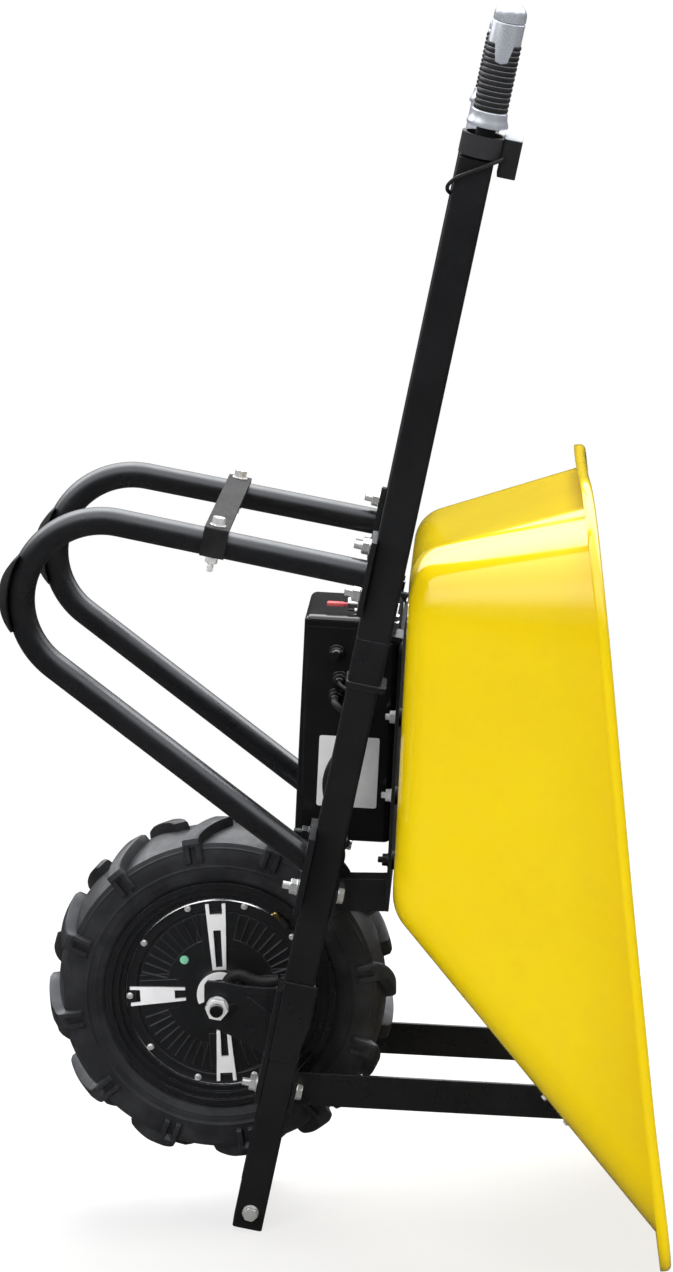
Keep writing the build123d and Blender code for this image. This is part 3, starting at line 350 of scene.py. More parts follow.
# metals: two tints, roughness from and to, grain
zinc = metalLook("zinc_plate", (0.84, 0.84, 0.84), (0.76, 0.77, 0.77), (0.20, 0.27), 2500, depth=0.000001, metal=0.60)
paleZinc = metalLook("pale_zinc", (0.78, 0.78, 0.78), (0.70, 0.71, 0.71), (0.22, 0.30), 2500, depth=0.000001, metal=0.2)
satinSilver = metalLook(
    "satin_silver", (0.66, 0.69, 0.76), (0.63, 0.66, 0.73), (0.24, 0.29), 2500, depth=0.0000005, metal=0.55)
chrome = metalLook("chrome", (0.84, 0.85, 0.87), (0.78, 0.79, 0.81), (0.14, 0.20), 2500)
darkSteel = metalLook("dark_steel", (0.10, 0.10, 0.105), (0.16, 0.16, 0.165), (0.35, 0.5))
plainSteel = metalLook("plain_steel", (0.55, 0.55, 0.56), (0.46, 0.46, 0.47), (0.3, 0.45))
brass = metalLook("brass", (0.80, 0.62, 0.25), (0.66, 0.50, 0.18), (0.22, 0.4))
labelFoil = metalLook("label_foil", (0.90, 0.91, 0.94), (0.84, 0.85, 0.88), (0.30, 0.42), 500, (1, 1, 5), metal=0.0)

# plastics and rubber: two tints, roughness from and to, grain and its depth
mattBlack = plainLook(
    "matt_black_coat", (0.012, 0.012, 0.013), (0.022, 0.022, 0.023), (0.5, 0.65), 1300, 0.00008, 0.14)
softRubber = plainLook(
    "soft_rubber", (0.013, 0.013, 0.014), (0.022, 0.022, 0.023), (0.48, 0.62), 1500, 0.00003, 0.3)
blackPlastic = plainLook(
    "black_plastic", (0.012, 0.012, 0.013), (0.018, 0.018, 0.019), (0.30, 0.42), 1700, 0.00001, 0.45)
greyPlastic = plainLook(
    "dark_grey_plastic", (0.026, 0.026, 0.029), (0.034, 0.034, 0.037), (0.36, 0.46), 1700, 0.00001, 0.4)
glossPlastic = plainLook(
    "gloss_plastic", (0.007, 0.007, 0.008), (0.010, 0.010, 0.011), (0.12, 0.20), 900, 0.000003, 0.6)
redPlastic = plainLook("red_plastic", (0.62, 0.07, 0.09), (0.72, 0.12, 0.13), (0.25, 0.4), 900, 0.00004)
palePlastic = plainLook("pale_window", (0.70, 0.73, 0.78), (0.62, 0.65, 0.70), (0.12, 0.2), 600, 0.00001)
greenPlastic = plainLook("green_plug", (0.16, 0.54, 0.33), (0.24, 0.62, 0.42), (0.3, 0.4), 900, 0.00001)

nodeLooks = (
    (railCoat, ("left_rail", "right_rail", "left_handle_tube", "right_handle_tube", "nose_bar", "mount_plate")),
    (edgedCoat, ("left_rail_collar", "right_rail_collar", "left_rail_cheek", "right_rail_cheek")),
    (edgedCoat, ("left_axle_bracket", "right_axle_bracket")),
    (blackCoat, ("left_leg", "right_leg", "left_rail_packing", "right_tray_spacer")),
    (blackCoat, ("left_tray_brace", "right_tray_brace")),
    (glossPlastic, ("battery_case", "battery_lid", "charge_socket", "throttle_plug", "motor_plug")),
    (blackPlastic, ("battery_pack", "display_box")),
    (greyPlastic, ("throttle_housing",)),
    (mattBlack, ("leg_strap",)),
    (softRubber, ("left_leg_pad", "right_leg_pad", "cable_boot", "motor_cable", "throttle_cable")),
    (softRubber, ("valve_cap", "inner_tube", "throttle_rubber", "left_grip")),
    (castAlloy, ("left_motor_cover", "right_motor_cover")),
    (rimAlloy, ("rim",)),
    (zinc, ("frame_bolts", "clamp_bolts", "tray_bolts", "axle_nuts", "cover_screws")),
    (chrome, ("key_switch",)),
    (plainSteel, ("magnet_ring", "stator", "wheel_bearings", "controller")),
    (darkSteel, ("axle", "axle_washers")),
    (satinSilver, ("throttle_sleeve", "throttle_cap")),
    (brass, ("valve_stem",)),
    (labelFoil, ("rating_plate",)),
    (palePlastic, ("display_window",)),
    (redPlastic, ("key",)),
    (tyreRubber, ("tyre",)),
    (yellowCoat, ("tray",)),
)
for look, names in nodeLooks:
    for name in names:
        slots = nodes[name].data.materials
        slots.clear()
        slots.append(look)
print("finishes on the frame's own parts")


# Tray: floor, bend, wall, flange and turned-down lip carried round two rounded rectangles
trayForm = {
    "seat": (62.1, 0, 436.7), "seatTilt": 2.77, "rimX": 388, "rimTilt": 6.33, "sheet": 2,
    "floor": (-23, 400.5, 205, 70, 70),        # front, back, half width, front and rear corner radius
    "rim": (29.5, 903, 302, 112, 150),
    "bend": (57, 45), "flange": 26, "flangeCorner": 165, "neck": 7, "roll": 5, "lip": 11,
    "rearRise": 3, "frontRise": 3,
}


def trayLoop(front, back, half, frontCorner, rearCorner, grow=0.0):
    # rounded rectangle: front middle, round the +Y side to the rear middle, and back along -Y
    front, back, half = front - grow, back + grow, half + grow
    frontCorner, rearCorner = frontCorner + grow, rearCorner + grow
    t = np.linspace(0, 1, 17)[:-1]
    s = np.linspace(0, 1, 31)[:-1]
    turn = t * math.pi / 2
    along = [front + 0 * t, front + frontCorner * (1 - np.cos(turn))]
    along += [front + frontCorner + s * (back - rearCorner - front - frontCorner)]
    along += [back - rearCorner * (1 - np.sin(turn)), back + 0 * t]
    across = [t * (half - frontCorner), half - frontCorner * (1 - np.sin(turn)), half + 0 * s]
    across += [half - rearCorner * (1 - np.cos(turn)), (1 - t) * (half - rearCorner)]
    along, across = np.concatenate(along), np.concatenate(across)
    return np.r_[along, back, along[:0:-1]], np.r_[across, 0, -across[:0:-1]]


def makeTray():
    form = trayForm
    tilt, lean = math.radians(form["seatTilt"]), math.radians(form["rimTilt"])
    seatAlong = np.array([math.sin(tilt), 0, math.cos(tilt)])
    rimAlong = np.array([-math.sin(lean), 0, math.cos(lean)])
    rimOut = np.array([math.cos(lean), 0, math.sin(lean)])
    sideways = np.array([0, 1.0, 0])

    def seatPoint(grow):
        along, across = trayLoop(*form["floor"], grow)
        return np.array(form["seat"]) + along[:, None] * seatAlong + across[:, None] * sideways

    def rimPoint(grow, rearCorner):
        # the rim sweeps up a little at the rear corners and at the nose
        along, across = trayLoop(*form["rim"][:4], rearCorner, grow)
        corner = ease((along - 430) / 420) * ease((np.abs(across) - 60) / 200)
        lift = form["rearRise"] * corner + form["frontRise"] * ease((240 - along) / 200) - form["sheet"]
        spot = np.array([form["rimX"], 0, 0]) + along[:, None] * rimAlong
        return spot + across[:, None] * sideways + lift[:, None] * rimOut

    def bendRows(before, corner, after, radius, count):
        # circular arc that rounds a corner: a quadratic curve whose middle weight is the cosine of half the turn
        into, out = unit(corner - before), unit(after - corner)
        half = np.arccos(np.clip((into * out).sum(-1, keepdims=True), -1, 1)) / 2
        reach = np.reshape(radius, (-1, 1)) * np.tan(half)
        t = np.linspace(0, 1, count)[:, None, None]
        weights = (1 - t) ** 2, 2 * t * (1 - t) * np.cos(half), t ** 2
        ends = corner - into * reach, corner, corner + out * reach
        return sum(w * e for w, e in zip(weights, ends)) / sum(weights)

    floorEdge, rimEdge = seatPoint(0), rimPoint(0, form["rim"][4])
    outerEdge = rimPoint(form["flange"], form["flangeCorner"])
    inner = seatPoint(-60)
    along = trayLoop(*form["floor"])[0]
    bendRadius = np.interp(along, form["floor"][:2], form["bend"])
    low = bendRows(inner, floorEdge, rimEdge, bendRadius, 12)
    neck = bendRows(floorEdge, rimEdge, outerEdge, form["neck"], 7)
    lipEdge = outerEdge - rimOut * form["lip"]
    roll = bendRows(rimEdge, outerEdge, lipEdge, form["roll"], 7)
    middle = low[0].mean(0)
    floorRows = middle + (low[0] - middle) * np.linspace(0.02, 0.96, 12)[:, None, None]
    wallRows = low[-1] + (neck[0] - low[-1]) * np.linspace(0, 1, 30)[1:-1, None, None]
    flangeRows = neck[-1] + (roll[0] - neck[-1]) * np.linspace(0, 1, 5)[1:-1, None, None]
    rows = np.concatenate([floorRows, low, wallRows, neck, flangeRows, roll, lipEdge[None]])
    count, cols = rows.shape[:2]
    faces = [gridQuads(count, cols), np.arange(cols)[None, ::-1]]
    verts = rows.reshape(-1, 3)
    f = faces[0][: cols]
    normal = np.cross(verts[f[:, 1]] - verts[f[:, 0]], verts[f[:, 3]] - verts[f[:, 0]]).mean(0)
    if normal[0] > 0:                         # the underside faces the wheel
        faces = [g[:, ::-1] for g in faces]
    piece = putMesh("tray_pressing", verts, faces, yellowCoat, "frame", ("tray",), "yellow_paint", 60)
    wall = piece.modifiers.new("sheet", "SOLIDIFY")
    wall.thickness = form["sheet"] * mm
    wall.offset = -1
    wall.use_even_offset = True
    piece.visible_glossy = False              # keeps its yellow out of the black parts' shine
    return piece


makeTray()
print("tray")


# Wheel
wheelCentre = np.array([-148.0, 0.0, 280.0])


def onWheel(radius, angle, side):
    # points at a radius and angle about the axle, side millimetres along +Y
    radius, angle, side = np.broadcast_arrays(radius, angle, side)
    return wheelCentre + np.stack([radius * np.cos(angle), side, radius * np.sin(angle)], -1)


tyreForm = {
    "crown": 199, "crownArc": 115.5, "shoulder": 47, "widest": (165, 53), "bead": (139.8, 41.3), "around": 192,
    "lugs": 12, "lugStart": 10, "lugSweep": 38, "lugTop": 9.6, "lugFoot": 12.5, "pastMiddle": 4, "lugEnd": 165,
    "ribs": ((161, 1.3, 1.3), (183, 0.6, 0.8), (151, 0.5, 0.9)),      # radius, height and width of each wall rib
    "crownTall": ((0, -1.5), (2, 9.5), (6, 12.0), (40, 13.0)),        # lug height along its run on the crown
    "wallTall": ((0, 11.5), (0.18, 7.5), (0.45, 6.2), (0.85, 4.8), (1.0, -1.5)),      # and by share of the wall
    "groove": 5.4,
}


def crownRadius(side):
    arc = tyreForm["crownArc"]
    return tyreForm["crown"] - arc + np.sqrt(arc ** 2 - side ** 2)


def wallSide(radius):
    # sidewall: two parabolas that meet at the widest point
    (wideR, wideY), (beadR, beadY) = tyreForm["widest"], tyreForm["bead"]
    shoulderR = crownRadius(tyreForm["shoulder"])
    upper = (wideY - tyreForm["shoulder"]) / (shoulderR - wideR) ** 2
    lower = (wideY - beadY) / (wideR - beadR) ** 2
    return wideY - np.where(radius > wideR, upper, lower) * (radius - wideR) ** 2


def makeTyre():
    form = tyreForm
    side = np.linspace(0, form["shoulder"], 14)
    shoulderR = crownRadius(form["shoulder"])
    radius = np.linspace(shoulderR, form["bead"][0], 66)[1:]
    rib = sum(tall * np.exp(-((radius - at) / wide) ** 2) for at, tall, wide in form["ribs"])
    rib = rib - 0.7 * ease((160 - radius) / 2)
    halfR = np.r_[crownRadius(side), radius, 130.0]
    halfY = np.r_[side, wallSide(radius) + rib, 38.0]
    profileR, profileY = np.r_[halfR[::-1], halfR[1:]], np.r_[halfY[::-1], -halfY[1:]]
    angle = np.linspace(0, 2 * math.pi, form["around"], endpoint=False)
    carcass = tubes(onWheel(profileR[:, None], angle[None], profileY[:, None]), wrapRows=True)

    # lugs: a draughted bar laid along the crown and down the wall, with a groove in its foot
    crownRun = form["shoulder"] + form["pastMiddle"]
    wallRun = shoulderR - form["lugEnd"]
    run = np.concatenate([np.linspace(0, crownRun, 26)[:-1], crownRun + np.linspace(0, wallRun, 18)])
    onCrown = run < crownRun
    sideAt = np.where(onCrown, run - form["pastMiddle"], 0)
    radiusAt = np.where(onCrown, crownRadius(sideAt), shoulderR - (run - crownRun))
    sideAt = np.where(onCrown, sideAt, wallSide(radiusAt))
    slope = unit(np.stack([np.gradient(radiusAt), np.gradient(sideAt)], -1))
    outR, outY = slope[:, 1], -slope[:, 0]
    (crownAt, crownTall), (wallAt, wallTall) = np.transpose(form["crownTall"]), np.transpose(form["wallTall"])
    tall = np.interp(run, np.r_[crownAt, crownRun + wallRun * wallAt], np.r_[crownTall, wallTall])
    top, foot = form["lugTop"], form["lugFoot"]
    across = np.array([-foot, -top - 0.5, -top + 0.5, -top + 1.8, -0.42 * top, -0.30 * top])
    across = np.r_[across, -across[::-1]]
    share = np.array([0, 0.84, 0.96, 1.0, 1.0, 1.0])
    share = np.r_[share, share[::-1]]
    groove = np.zeros(12)
    groove[5:7] = 1
    height = tall[:, None] * share + 2.5 * (share - 1) * (share == 0)
    height = height - groove * form["groove"] * ease((run - crownRun - 2) / 3)[:, None] * (tall > 0)[:, None]
    lead = -math.tan(math.radians(form["lugSweep"])) * np.clip(form["shoulder"] - sideAt, 0, None) * onCrown
    lugR = radiusAt[:, None] + outR[:, None] * height
    lugY = sideAt[:, None] + outY[:, None] * height
    lugAngle = (lead[:, None] + across * np.interp(run, [0, 12], [0.82, 1])[:, None]) / radiusAt[:, None]
    shells = [carcass]
    for sign, stagger in ((-1, 0.0), (1, 0.5)):
        pitch = 360 / form["lugs"]
        start = np.radians(form["lugStart"] + pitch * (np.arange(form["lugs"]) + stagger))
        shells.append(tubes(onWheel(lugR[None], start[:, None, None] + lugAngle[None], sign * lugY[None])))
    return putShells("tyre_tread", shells, tyreRubber, "wheel", ("tyre",), "tyre", 28)


makeTyre()
print("tyre")


# Hub covers
hubForm = {
    "turn": 3.3, "around": 144, "fins": 9, "finStep": 7.0, "finFrom": 67, "finTo": 98.5, "finWide": 1.9,
    "panelHalf": 25, "panelReach": (52.0, 97.5), "plateLow": 32.2, "plateHigh": 35.6,
    "arc": (50, 204), "plug": (59.2, 138.5),                          # degrees on the boss; radius and degrees
    # radius and height of the casting's section, then of the bright ring's
    "section": (
        (20, 28), (60, 27), (117, 27), (117, 31.8), (116.2, 32.8), (115, 33), (104, 33), (103, 32.4), (102, 29.5),
        (99.5, 29.5), (98.8, 30.6), (67.5, 30.4), (66.8, 31.8), (42, 32), (30, 33.2), (27.6, 34.5), (26.4, 43.5),
        (24.5, 45.6), (22, 46), (10, 46), (10, 40.2), (20, 40.2)),
    "ring": ((114.5, 32.6), (114.5, 35.6), (114.9, 36.0), (117.1, 34.5), (117.1, 32.6)),
}


def onHub(along, across, height, turn, sign):
    # along and across a direction that is turned about the axle, height millimetres out from the wheel's middle
    c, s = math.cos(turn), math.sin(turn)
    along, across, height = np.broadcast_arrays(along, across, height)
    return wheelCentre + np.stack([along * c - across * s, sign * height, along * s + across * c], -1)


def spokePlate(stations, widths, gaps, solid, turn, sign):
    # a tapered plate of three strips, where the middle strip is cut away between some stations
    stations, widths, gaps = np.array(stations, float), np.array(widths, float), np.array(gaps, float)
    across = np.stack([-widths, -gaps, gaps, widths], -1)
    along = np.broadcast_to(stations[:, None], across.shape)
    low = onHub(along, across, hubForm["plateLow"], turn, sign)
    high = onHub(along, across, hubForm["plateHigh"], turn, sign)
    return lattice(low, high, np.array(solid, bool))


def makeHub(sign, name, node):
    form = hubForm
    angle = np.linspace(0, 2 * math.pi, form["around"], endpoint=False)
    profile = np.array(form["section"])
    disc = tubes(onWheel(profile[:, :1], angle[None], sign * profile[:, 1:]), wrapRows=True)
    # cooling fins in the four quarters: low bars with a rounded back
    step = (np.arange(form["fins"]) - (form["fins"] - 1) / 2) * form["finStep"]
    finAngle = np.radians((45 + 90 * np.arange(4)[:, None] + step).ravel() + form["turn"])
    along = np.array([form["finFrom"], form["finFrom"] + 1.5, form["finTo"] - 1, form["finTo"]])
    tall = np.array([0.4, 2.8, 2.8, 0.6])
    across = form["finWide"] * np.array([-0.5, -0.42, 0, 0.42, 0.5])
    share = np.array([0, 0.8, 1.0, 0.8, 0])
    fin = np.stack(np.broadcast_arrays(along[:, None], across[None], 30.2 + tall[:, None] * share), -1)
    c, s = np.cos(finAngle)[:, None, None], np.sin(finAngle)[:, None, None]
    fins = wheelCentre + np.stack(np.broadcast_arrays(
        fin[..., 0] * c - fin[..., 1] * s, sign * fin[..., 2], fin[..., 0] * s + fin[..., 1] * c), -1)
    shells = [disc, tubes(fins)]
    # flat panels that carry the spokes, each with a lower step along its sides
    for quarter in range(4):
        turn = math.radians(form["turn"] + 90 * quarter)
        for half, low, high in ((form["panelHalf"], 29.8, 31.3), (form["panelHalf"] - 7, 30.5, 32.3)):
            edges = np.array([-half, half], float)
            ends = np.array(form["panelReach"])
            grids = [onHub(ends[:, None], edges[None], h, turn, sign) for h in (low, high)]
            shells.append(lattice(*grids, np.ones((1, 1), bool)))
    putShells(name + "_casting", shells, castAlloy, "wheel", (node,), "black_alloy", 30, 0.35)

    plates = []
    for quarter in range(4):
        turn = math.radians(form["turn"] + 90 * quarter)
        if quarter == 1:                      # slotted spoke with a closed foot
            stations, widths = (28, 31.5, 77.5, 97.5, 110.5), (8.3, 8.5, 10.9, 11.8, 12.4)
            gaps, solid = (3.8, 3.9, 4.6, 7.4, 7.8), ((1, 1, 1), (1, 0, 1), (1, 1, 1), (1, 0, 1))
        elif quarter == 3:                    # slotted spoke, open at the foot
            stations, widths = (47, 80, 101, 111), (8.4, 10.2, 11.6, 12.2)
            gaps, solid = (3.9, 4.5, 7.4, 7.8), ((1, 0, 1), (1, 1, 1), (1, 0, 1))
        else:                                 # solid spoke with a short fork at each end
            stations, widths = (43, 56, 98, 110), (8.2, 9.0, 11.5, 12.2)
            gaps, solid = (4.8, 5.2, 7.4, 8.2), ((1, 0, 1), (1, 1, 1), (1, 0, 1))
        plates.append(spokePlate(stations, widths, gaps, solid, turn, sign))
    # bright arc on the boss
    sweep = np.radians(np.linspace(*form["arc"], 48))
    section = np.broadcast_to([19.5, 28.4, 28.4, 27.4, 19.5], (48, 5))
    heights = np.array([44.0, 44.0, 46.2, 47.2, 47.4])
    crescent = tubes(onWheel(section, (sweep if sign < 0 else math.pi - sweep)[:, None], sign * heights[None]))
    # thin bright ring round the cover, its face sloping outwards
    edge = np.array(form["ring"])
    ring = tubes(onWheel(edge[:, :1], angle[None], sign * edge[:, 1:]), wrapRows=True)
    putShells(name + "_bright", [*plates, crescent], brightAlloy, "wheel", (), "silver", 30, 0.3)
    putShells(name + "_edge", [ring], chrome, "wheel", (), "silver", 25)
    # small plug in the casting beside the upper spoke
    reach, degrees = form["plug"]
    spot = onWheel(reach, math.radians(degrees if sign < 0 else 180 - degrees), sign * 31.0)
    plug = panHead(spot, np.array([0, sign, 0.0]), 5.6, 2.4)
    putShells(name + "_plug", [plug], greenPlastic, "wheel", (), "black_plastic", 60)


# Handle rails: a straight line on each side, with its own axes
def unitOf(*v):
    return unit(np.array(v, float))


railForm = {"start": (-115, -79.3), "lean": (0.2081, -0.1174)}      # at floor height, and sideways for each unit up
railAxis = unitOf(*railForm["lean"], 1)
railAcross = unit(np.array([1.0, 0, 0]) - railAxis * railAxis[0])
railInward = np.cross(railAxis, railAcross)


def railPoint(height, across=0.0, inward=0.0):
    (startX, startY), (leanX, leanY) = railForm["start"], railForm["lean"]
    middle = np.array([startX + leanX * height, startY + leanY * height, height])
    return middle + across * railAcross + inward * railInward


def turned(origin, axis, radius, height, cols=48, start=None):
    # points turned about an axis: one radius for each height, or a whole row of radii
    radius, height = np.asarray(radius, float), np.asarray(height, float)
    radius = radius[:, None] if radius.ndim == 1 else radius
    start = unit(np.cross(axis, [0.31, 0.87, 0.38])) if start is None else start
    cols = radius.shape[1] if radius.shape[1] > 1 else cols
    angle = np.linspace(0, 2 * math.pi, cols, endpoint=False)
    spoke = np.cos(angle)[:, None] * start + np.sin(angle)[:, None] * np.cross(axis, start)
    return origin + height[:, None, None] * axis + radius[..., None] * spoke


def otherSide(shells):
    # the same shells on the barrow's left
    return [(v * (1, -1, 1), fs) for v, fs in shells]


# Grips
gripForm = {
    # heights along the grip
    "flare": 40.0, "rubber": 57.5, "rubberEnd": 133.0, "cap": 157.0, "end": 178.0, "ribs": 13,
    "tongueTip": 112.0, "tongueHalf": (-3.0, 21.0, 36.0),      # degrees each way, from the tip to the rubber's end
    "leftEnd": 127.0, "leftCap": 131, "leftTop": 148,
}
gripOrigin = railPoint(1292, 3.5)


def makeGrip(rubberEnd, cap, end, tongue):
    form = gripForm
    flare, first = form["flare"], form["rubber"]
    # sleeve: flared collar, straight tube under the rubber, groove below the dome
    sleeve = np.array([
        (11.4, flare), (21.6, flare), (22.8, flare + 0.5), (23.4, flare + 2), (23.2, flare + 4), (22.3, flare + 6.4),
        (21.2, flare + 8.8), (20.6, flare + 11.2), (20.3, flare + 13.6), (20.2, first - 0.9), (19.7, first - 0.2),
        (18.2, first - 0.1), (18.2, cap - 1.8), (17.9, cap - 1.2), (17.0, cap - 0.6), (11.4, cap - 0.5)])
    sleeve = tubes(turned(gripOrigin, railAxis, sleeve[:, 0], sleeve[:, 1], 96, railAcross), wrapRows=True)
    share = np.linspace(0, 1, 15)
    tall = end - cap
    domeR = 18.1 * np.sqrt(np.clip(1 - np.clip((share - 0.22) / 0.78, 0, 1) ** 2.3, 0, 1))
    domeR[-1] = 0.4
    domeTop = np.stack([domeR, cap + 1.0 + share * (tall - 1.0)], 1)[1:]
    dome = np.r_[[[11.4, cap], [17.2, cap], [17.9, cap + 0.6]], domeTop]
    dome = tubes(turned(gripOrigin, railAxis, dome[:, 0], dome[:, 1], 96, railAcross))
    # rubber: rounded ribs along the grip, sunk under the sleeve where the silver tongue shows
    height = np.linspace(first, rubberEnd, form["ribs"] * 10 + 1)
    phase = (height - first) / (rubberEnd - first) * form["ribs"]
    ribs = 17.9 + 1.5 * np.abs(np.sin(math.pi * phase)) ** 0.6
    angle = np.linspace(0, 360, 240, endpoint=False)
    off = np.minimum(np.abs((angle - 270 + 180) % 360 - 180), np.abs((angle - 90 + 180) % 360 - 180))
    tip = form["tongueTip"]
    half = np.interp(height, [tip - 0.4, tip + 1.6, rubberEnd], form["tongueHalf"])
    shown = ease((half[:, None] - off[None]) / 2.4 + 0.5) if tongue else 0.0
    outer = np.broadcast_to(ribs[:, None], (len(height), 240)) - 2.6 * shown
    inner = np.full((2, 240), 16.2)
    points = turned(gripOrigin, railAxis, np.r_[outer, inner], np.r_[height, rubberEnd, first], start=railAcross)
    return sleeve, dome, tubes(points, wrapRows=True)


sleeve, dome, rubber = makeGrip(gripForm["rubberEnd"], gripForm["cap"], gripForm["end"], True)
putShells("throttle_collar", [sleeve], satinSilver, "throttle", ("throttle_sleeve",), "silver")
putShells("throttle_dome", [dome], satinSilver, "throttle", ("throttle_cap",), "silver")
putShells("throttle_ribs", [rubber], softRubber, "throttle", ("throttle_rubber",), "black_rubber")
sleeve, dome, rubber = makeGrip(gripForm["leftEnd"], gripForm["leftCap"], gripForm["leftTop"], False)
putShells("left_grip_ribs", otherSide([rubber]), softRubber, "frame", ("left_grip",), "black_rubber")
neck = turned(gripOrigin, railAxis, [11.4, 20.0, 20.5, 20.5, 11.4], [4, 4, 4.6, 40, 40], 64, railAcross)
neck = tubes(neck, wrapRows=True)
putShells("left_grip_collar", otherSide([sleeve, dome, neck]), satinSilver, "frame", (), "silver")
print("grips")


# Fasteners
def hexHead(seat, axis, flats, tall):
    # six-sided prism whose top corners are cut back by a cone
    angle = np.linspace(0, 2 * math.pi, 72, endpoint=False)
    sides = flats / 2 / np.cos((angle + math.pi / 6) % (math.pi / 3) - math.pi / 6)
    height = np.r_[0, tall * 0.5, np.linspace(tall * 0.78, tall, 6)]
    cone = flats / 2 * 0.96 + (tall - height) * 1.75
    return tubes(turned(seat, axis, np.minimum(sides[None], cone[:, None]), height))


def washer(seat, axis, radius, thick=1.4):
    radii, heights = [radius - 0.3, radius, radius, radius - 0.4], [0, 0.25, thick - 0.3, thick]
    return tubes(turned(seat, axis, radii, heights, 40))


def thread(seat, axis, radius, tall, pitch=1.5):
    height = np.linspace(0, tall, int(tall / pitch * 6) + 1)
    wave = np.abs((height / pitch) % 1 - 0.5) * 2
    radii = radius - 0.7 * wave
    radii[-2:] = radius - 1.0, radius - 1.5
    return tubes(turned(seat, axis, radii, height, 32))


def boltHead(seat, axis, flats, tall, ring):
    return [washer(seat, axis, ring), hexHead(seat + 1.3 * axis, axis, flats, tall)]


def nutEnd(seat, axis, flats, tall, ring, radius, tail):
    return boltHead(seat, axis, flats, tall, ring) + [thread(seat + axis * tall, axis, radius, tail + 1.3)]


def panHead(seat, axis, radius, tall):
    turn = np.linspace(0, 1, 9)
    radii, heights = radius * np.cos(turn * 1.5), 0.4 + (tall - 0.4) * np.sin(turn * 1.5)
    return tubes(turned(seat, axis, np.r_[radius, radii], np.r_[0, heights], 40))


boltForm = {
    "flats": 16, "head": 6.4, "nut": 8, "ring": 10, "tail": 9, "radius": 5,
    "noseAt": 27, "braceAt": 182, "footAt": 432, "darkAt": 498, "legAt": (789, 845), "hangerAt": 744,   # rail heights
    "strapAt": (-141.0, -185.5, 855.2), "seatRows": (29, 107, 201), "wallRows": (298, 338),
}
seatOrigin, seatAlong = np.array([62.1, 0, 436.7]), unitOf(0.04833, 0, 0.99883)
seatOut = unitOf(0.99883, 0, -0.04833)
wallOrigin, wallDown = np.array([60.99, 0, 413.73]), unitOf(0.6442, 0, -0.7649)
wallOut = unitOf(-0.7649, 0, -0.6442)
sideways = np.array([0, 1.0, 0])


def makeFasteners():
    form = boltForm
    head = (form["flats"], form["head"], form["ring"])
    nut = (form["flats"], form["nut"], form["ring"], form["radius"], form["tail"])
    right = boltHead(railPoint(form["noseAt"], 0, -18), -railInward, *head)
    for height, front, back in ((form["braceAt"], 23, -24), (form["footAt"], 22, -25.5)):
        right += boltHead(railPoint(height, front), railAcross, *head)
        right += nutEnd(railPoint(height, back), -railAcross, *nut)
    dark = [panHead(railPoint(form["darkAt"], 18), railAcross, 8.5, 5)]
    dark += nutEnd(railPoint(form["darkAt"], -25.5), -railAcross, *nut)
    for height in form["legAt"]:
        right += nutEnd(railPoint(height, -25.5), -railAcross, *nut)
    putShells("frame_fasteners", right + otherSide(right), zinc, "frame", ("frame_bolts",), "zinc")
    putShells("dark_rail_bolts", dark + otherSide(dark), blackCoat, "frame", (), "black_paint")

    strapUp, strapSpot = unitOf(0.1951, 0, 0.9808), np.array(form["strapAt"])
    right = boltHead(strapSpot + 20.1 * strapUp, strapUp, 13.4, 9.0, 9.5)
    right += nutEnd(strapSpot - 16.1 * strapUp, -strapUp, 12.8, 6.4, 8.5, 4, 10)
    putShells("clamp_fasteners", right + otherSide(right), paleZinc, "frame", ("clamp_bolts",), "zinc")
    hanger = railPoint(form["hangerAt"], 19, 34)
    right = [hexHead(hanger - 10.8 * railAxis, -railAxis, 12, 4), hexHead(hanger, railAxis, 15.2, 14)]
    right += [hexHead(hanger + 14.2 * railAxis, railAxis, 12.8, 7), thread(hanger - 10.8 * railAxis, railAxis, 4, 46)]
    putShells("hanger_bolts", right + otherSide(right), chrome, "frame", (), "zinc")

    # heads inside the tray, nuts under it; the lowest pair of nuts is dark
    shells, dark, places = [], [], []
    for row in form["seatRows"]:
        places += [(seatOrigin + row * seatAlong + side * sideways, seatOut, 8) for side in (-110, 110)]
    for row in form["wallRows"]:
        places += [(wallOrigin + row * wallDown + side * sideways, -wallOut, 4) for side in (-110, 88)]
    for index, (spot, inside, back) in enumerate(places):
        shells.append(panHead(spot + 2 * inside, inside, 9, 3.5))
        under = spot - back * inside
        nuts = [washer(under, -inside, 8.2, 1.2), hexHead(spot - (back + 1.1) * inside, -inside, 12.8, 6.0)]
        nuts.append(thread(under, -inside, 4, 12.2, 1.25))
        (dark if index < 2 else shells).extend(nuts)
    putShells("tray_fasteners", shells, paleZinc, "frame", ("tray_bolts",), "zinc")
    putShells("dark_tray_nuts", dark, darkSteel, "frame", (), "steel")

    shells = []
    for sign in (-1, 1):
        axis, spot = np.array([0, sign, 0.0]), wheelCentre + np.array([0, sign * 97.5, 0])
        shells += [washer(spot, axis, 13.4, 2), hexHead(spot + 1.9 * axis, axis, 24, 11.1)]
    putShells("axle_fasteners", shells, paleZinc, "frame", ("axle_nuts",), "zinc")

    shells = []
    for sign in (-1, 1):
        for angle in np.radians(3.07 + 36 * np.arange(10)):
            shells.append(panHead(onWheel(110.9, angle, sign * 32.6), np.array([0, sign, 0.0]), 4.3, 3.2))
    putShells("cover_fasteners", shells, zinc, "wheel", ("cover_screws",), "zinc")


plugForm = {
    "origin": (-0.3, 0, 481.8), "front": -82.0,
    "plugs": (("charge_socket", -17, 226, 15), ("throttle_plug", -11.5, 195, 20), ("motor_plug", -15.5, 174, 20)),
}


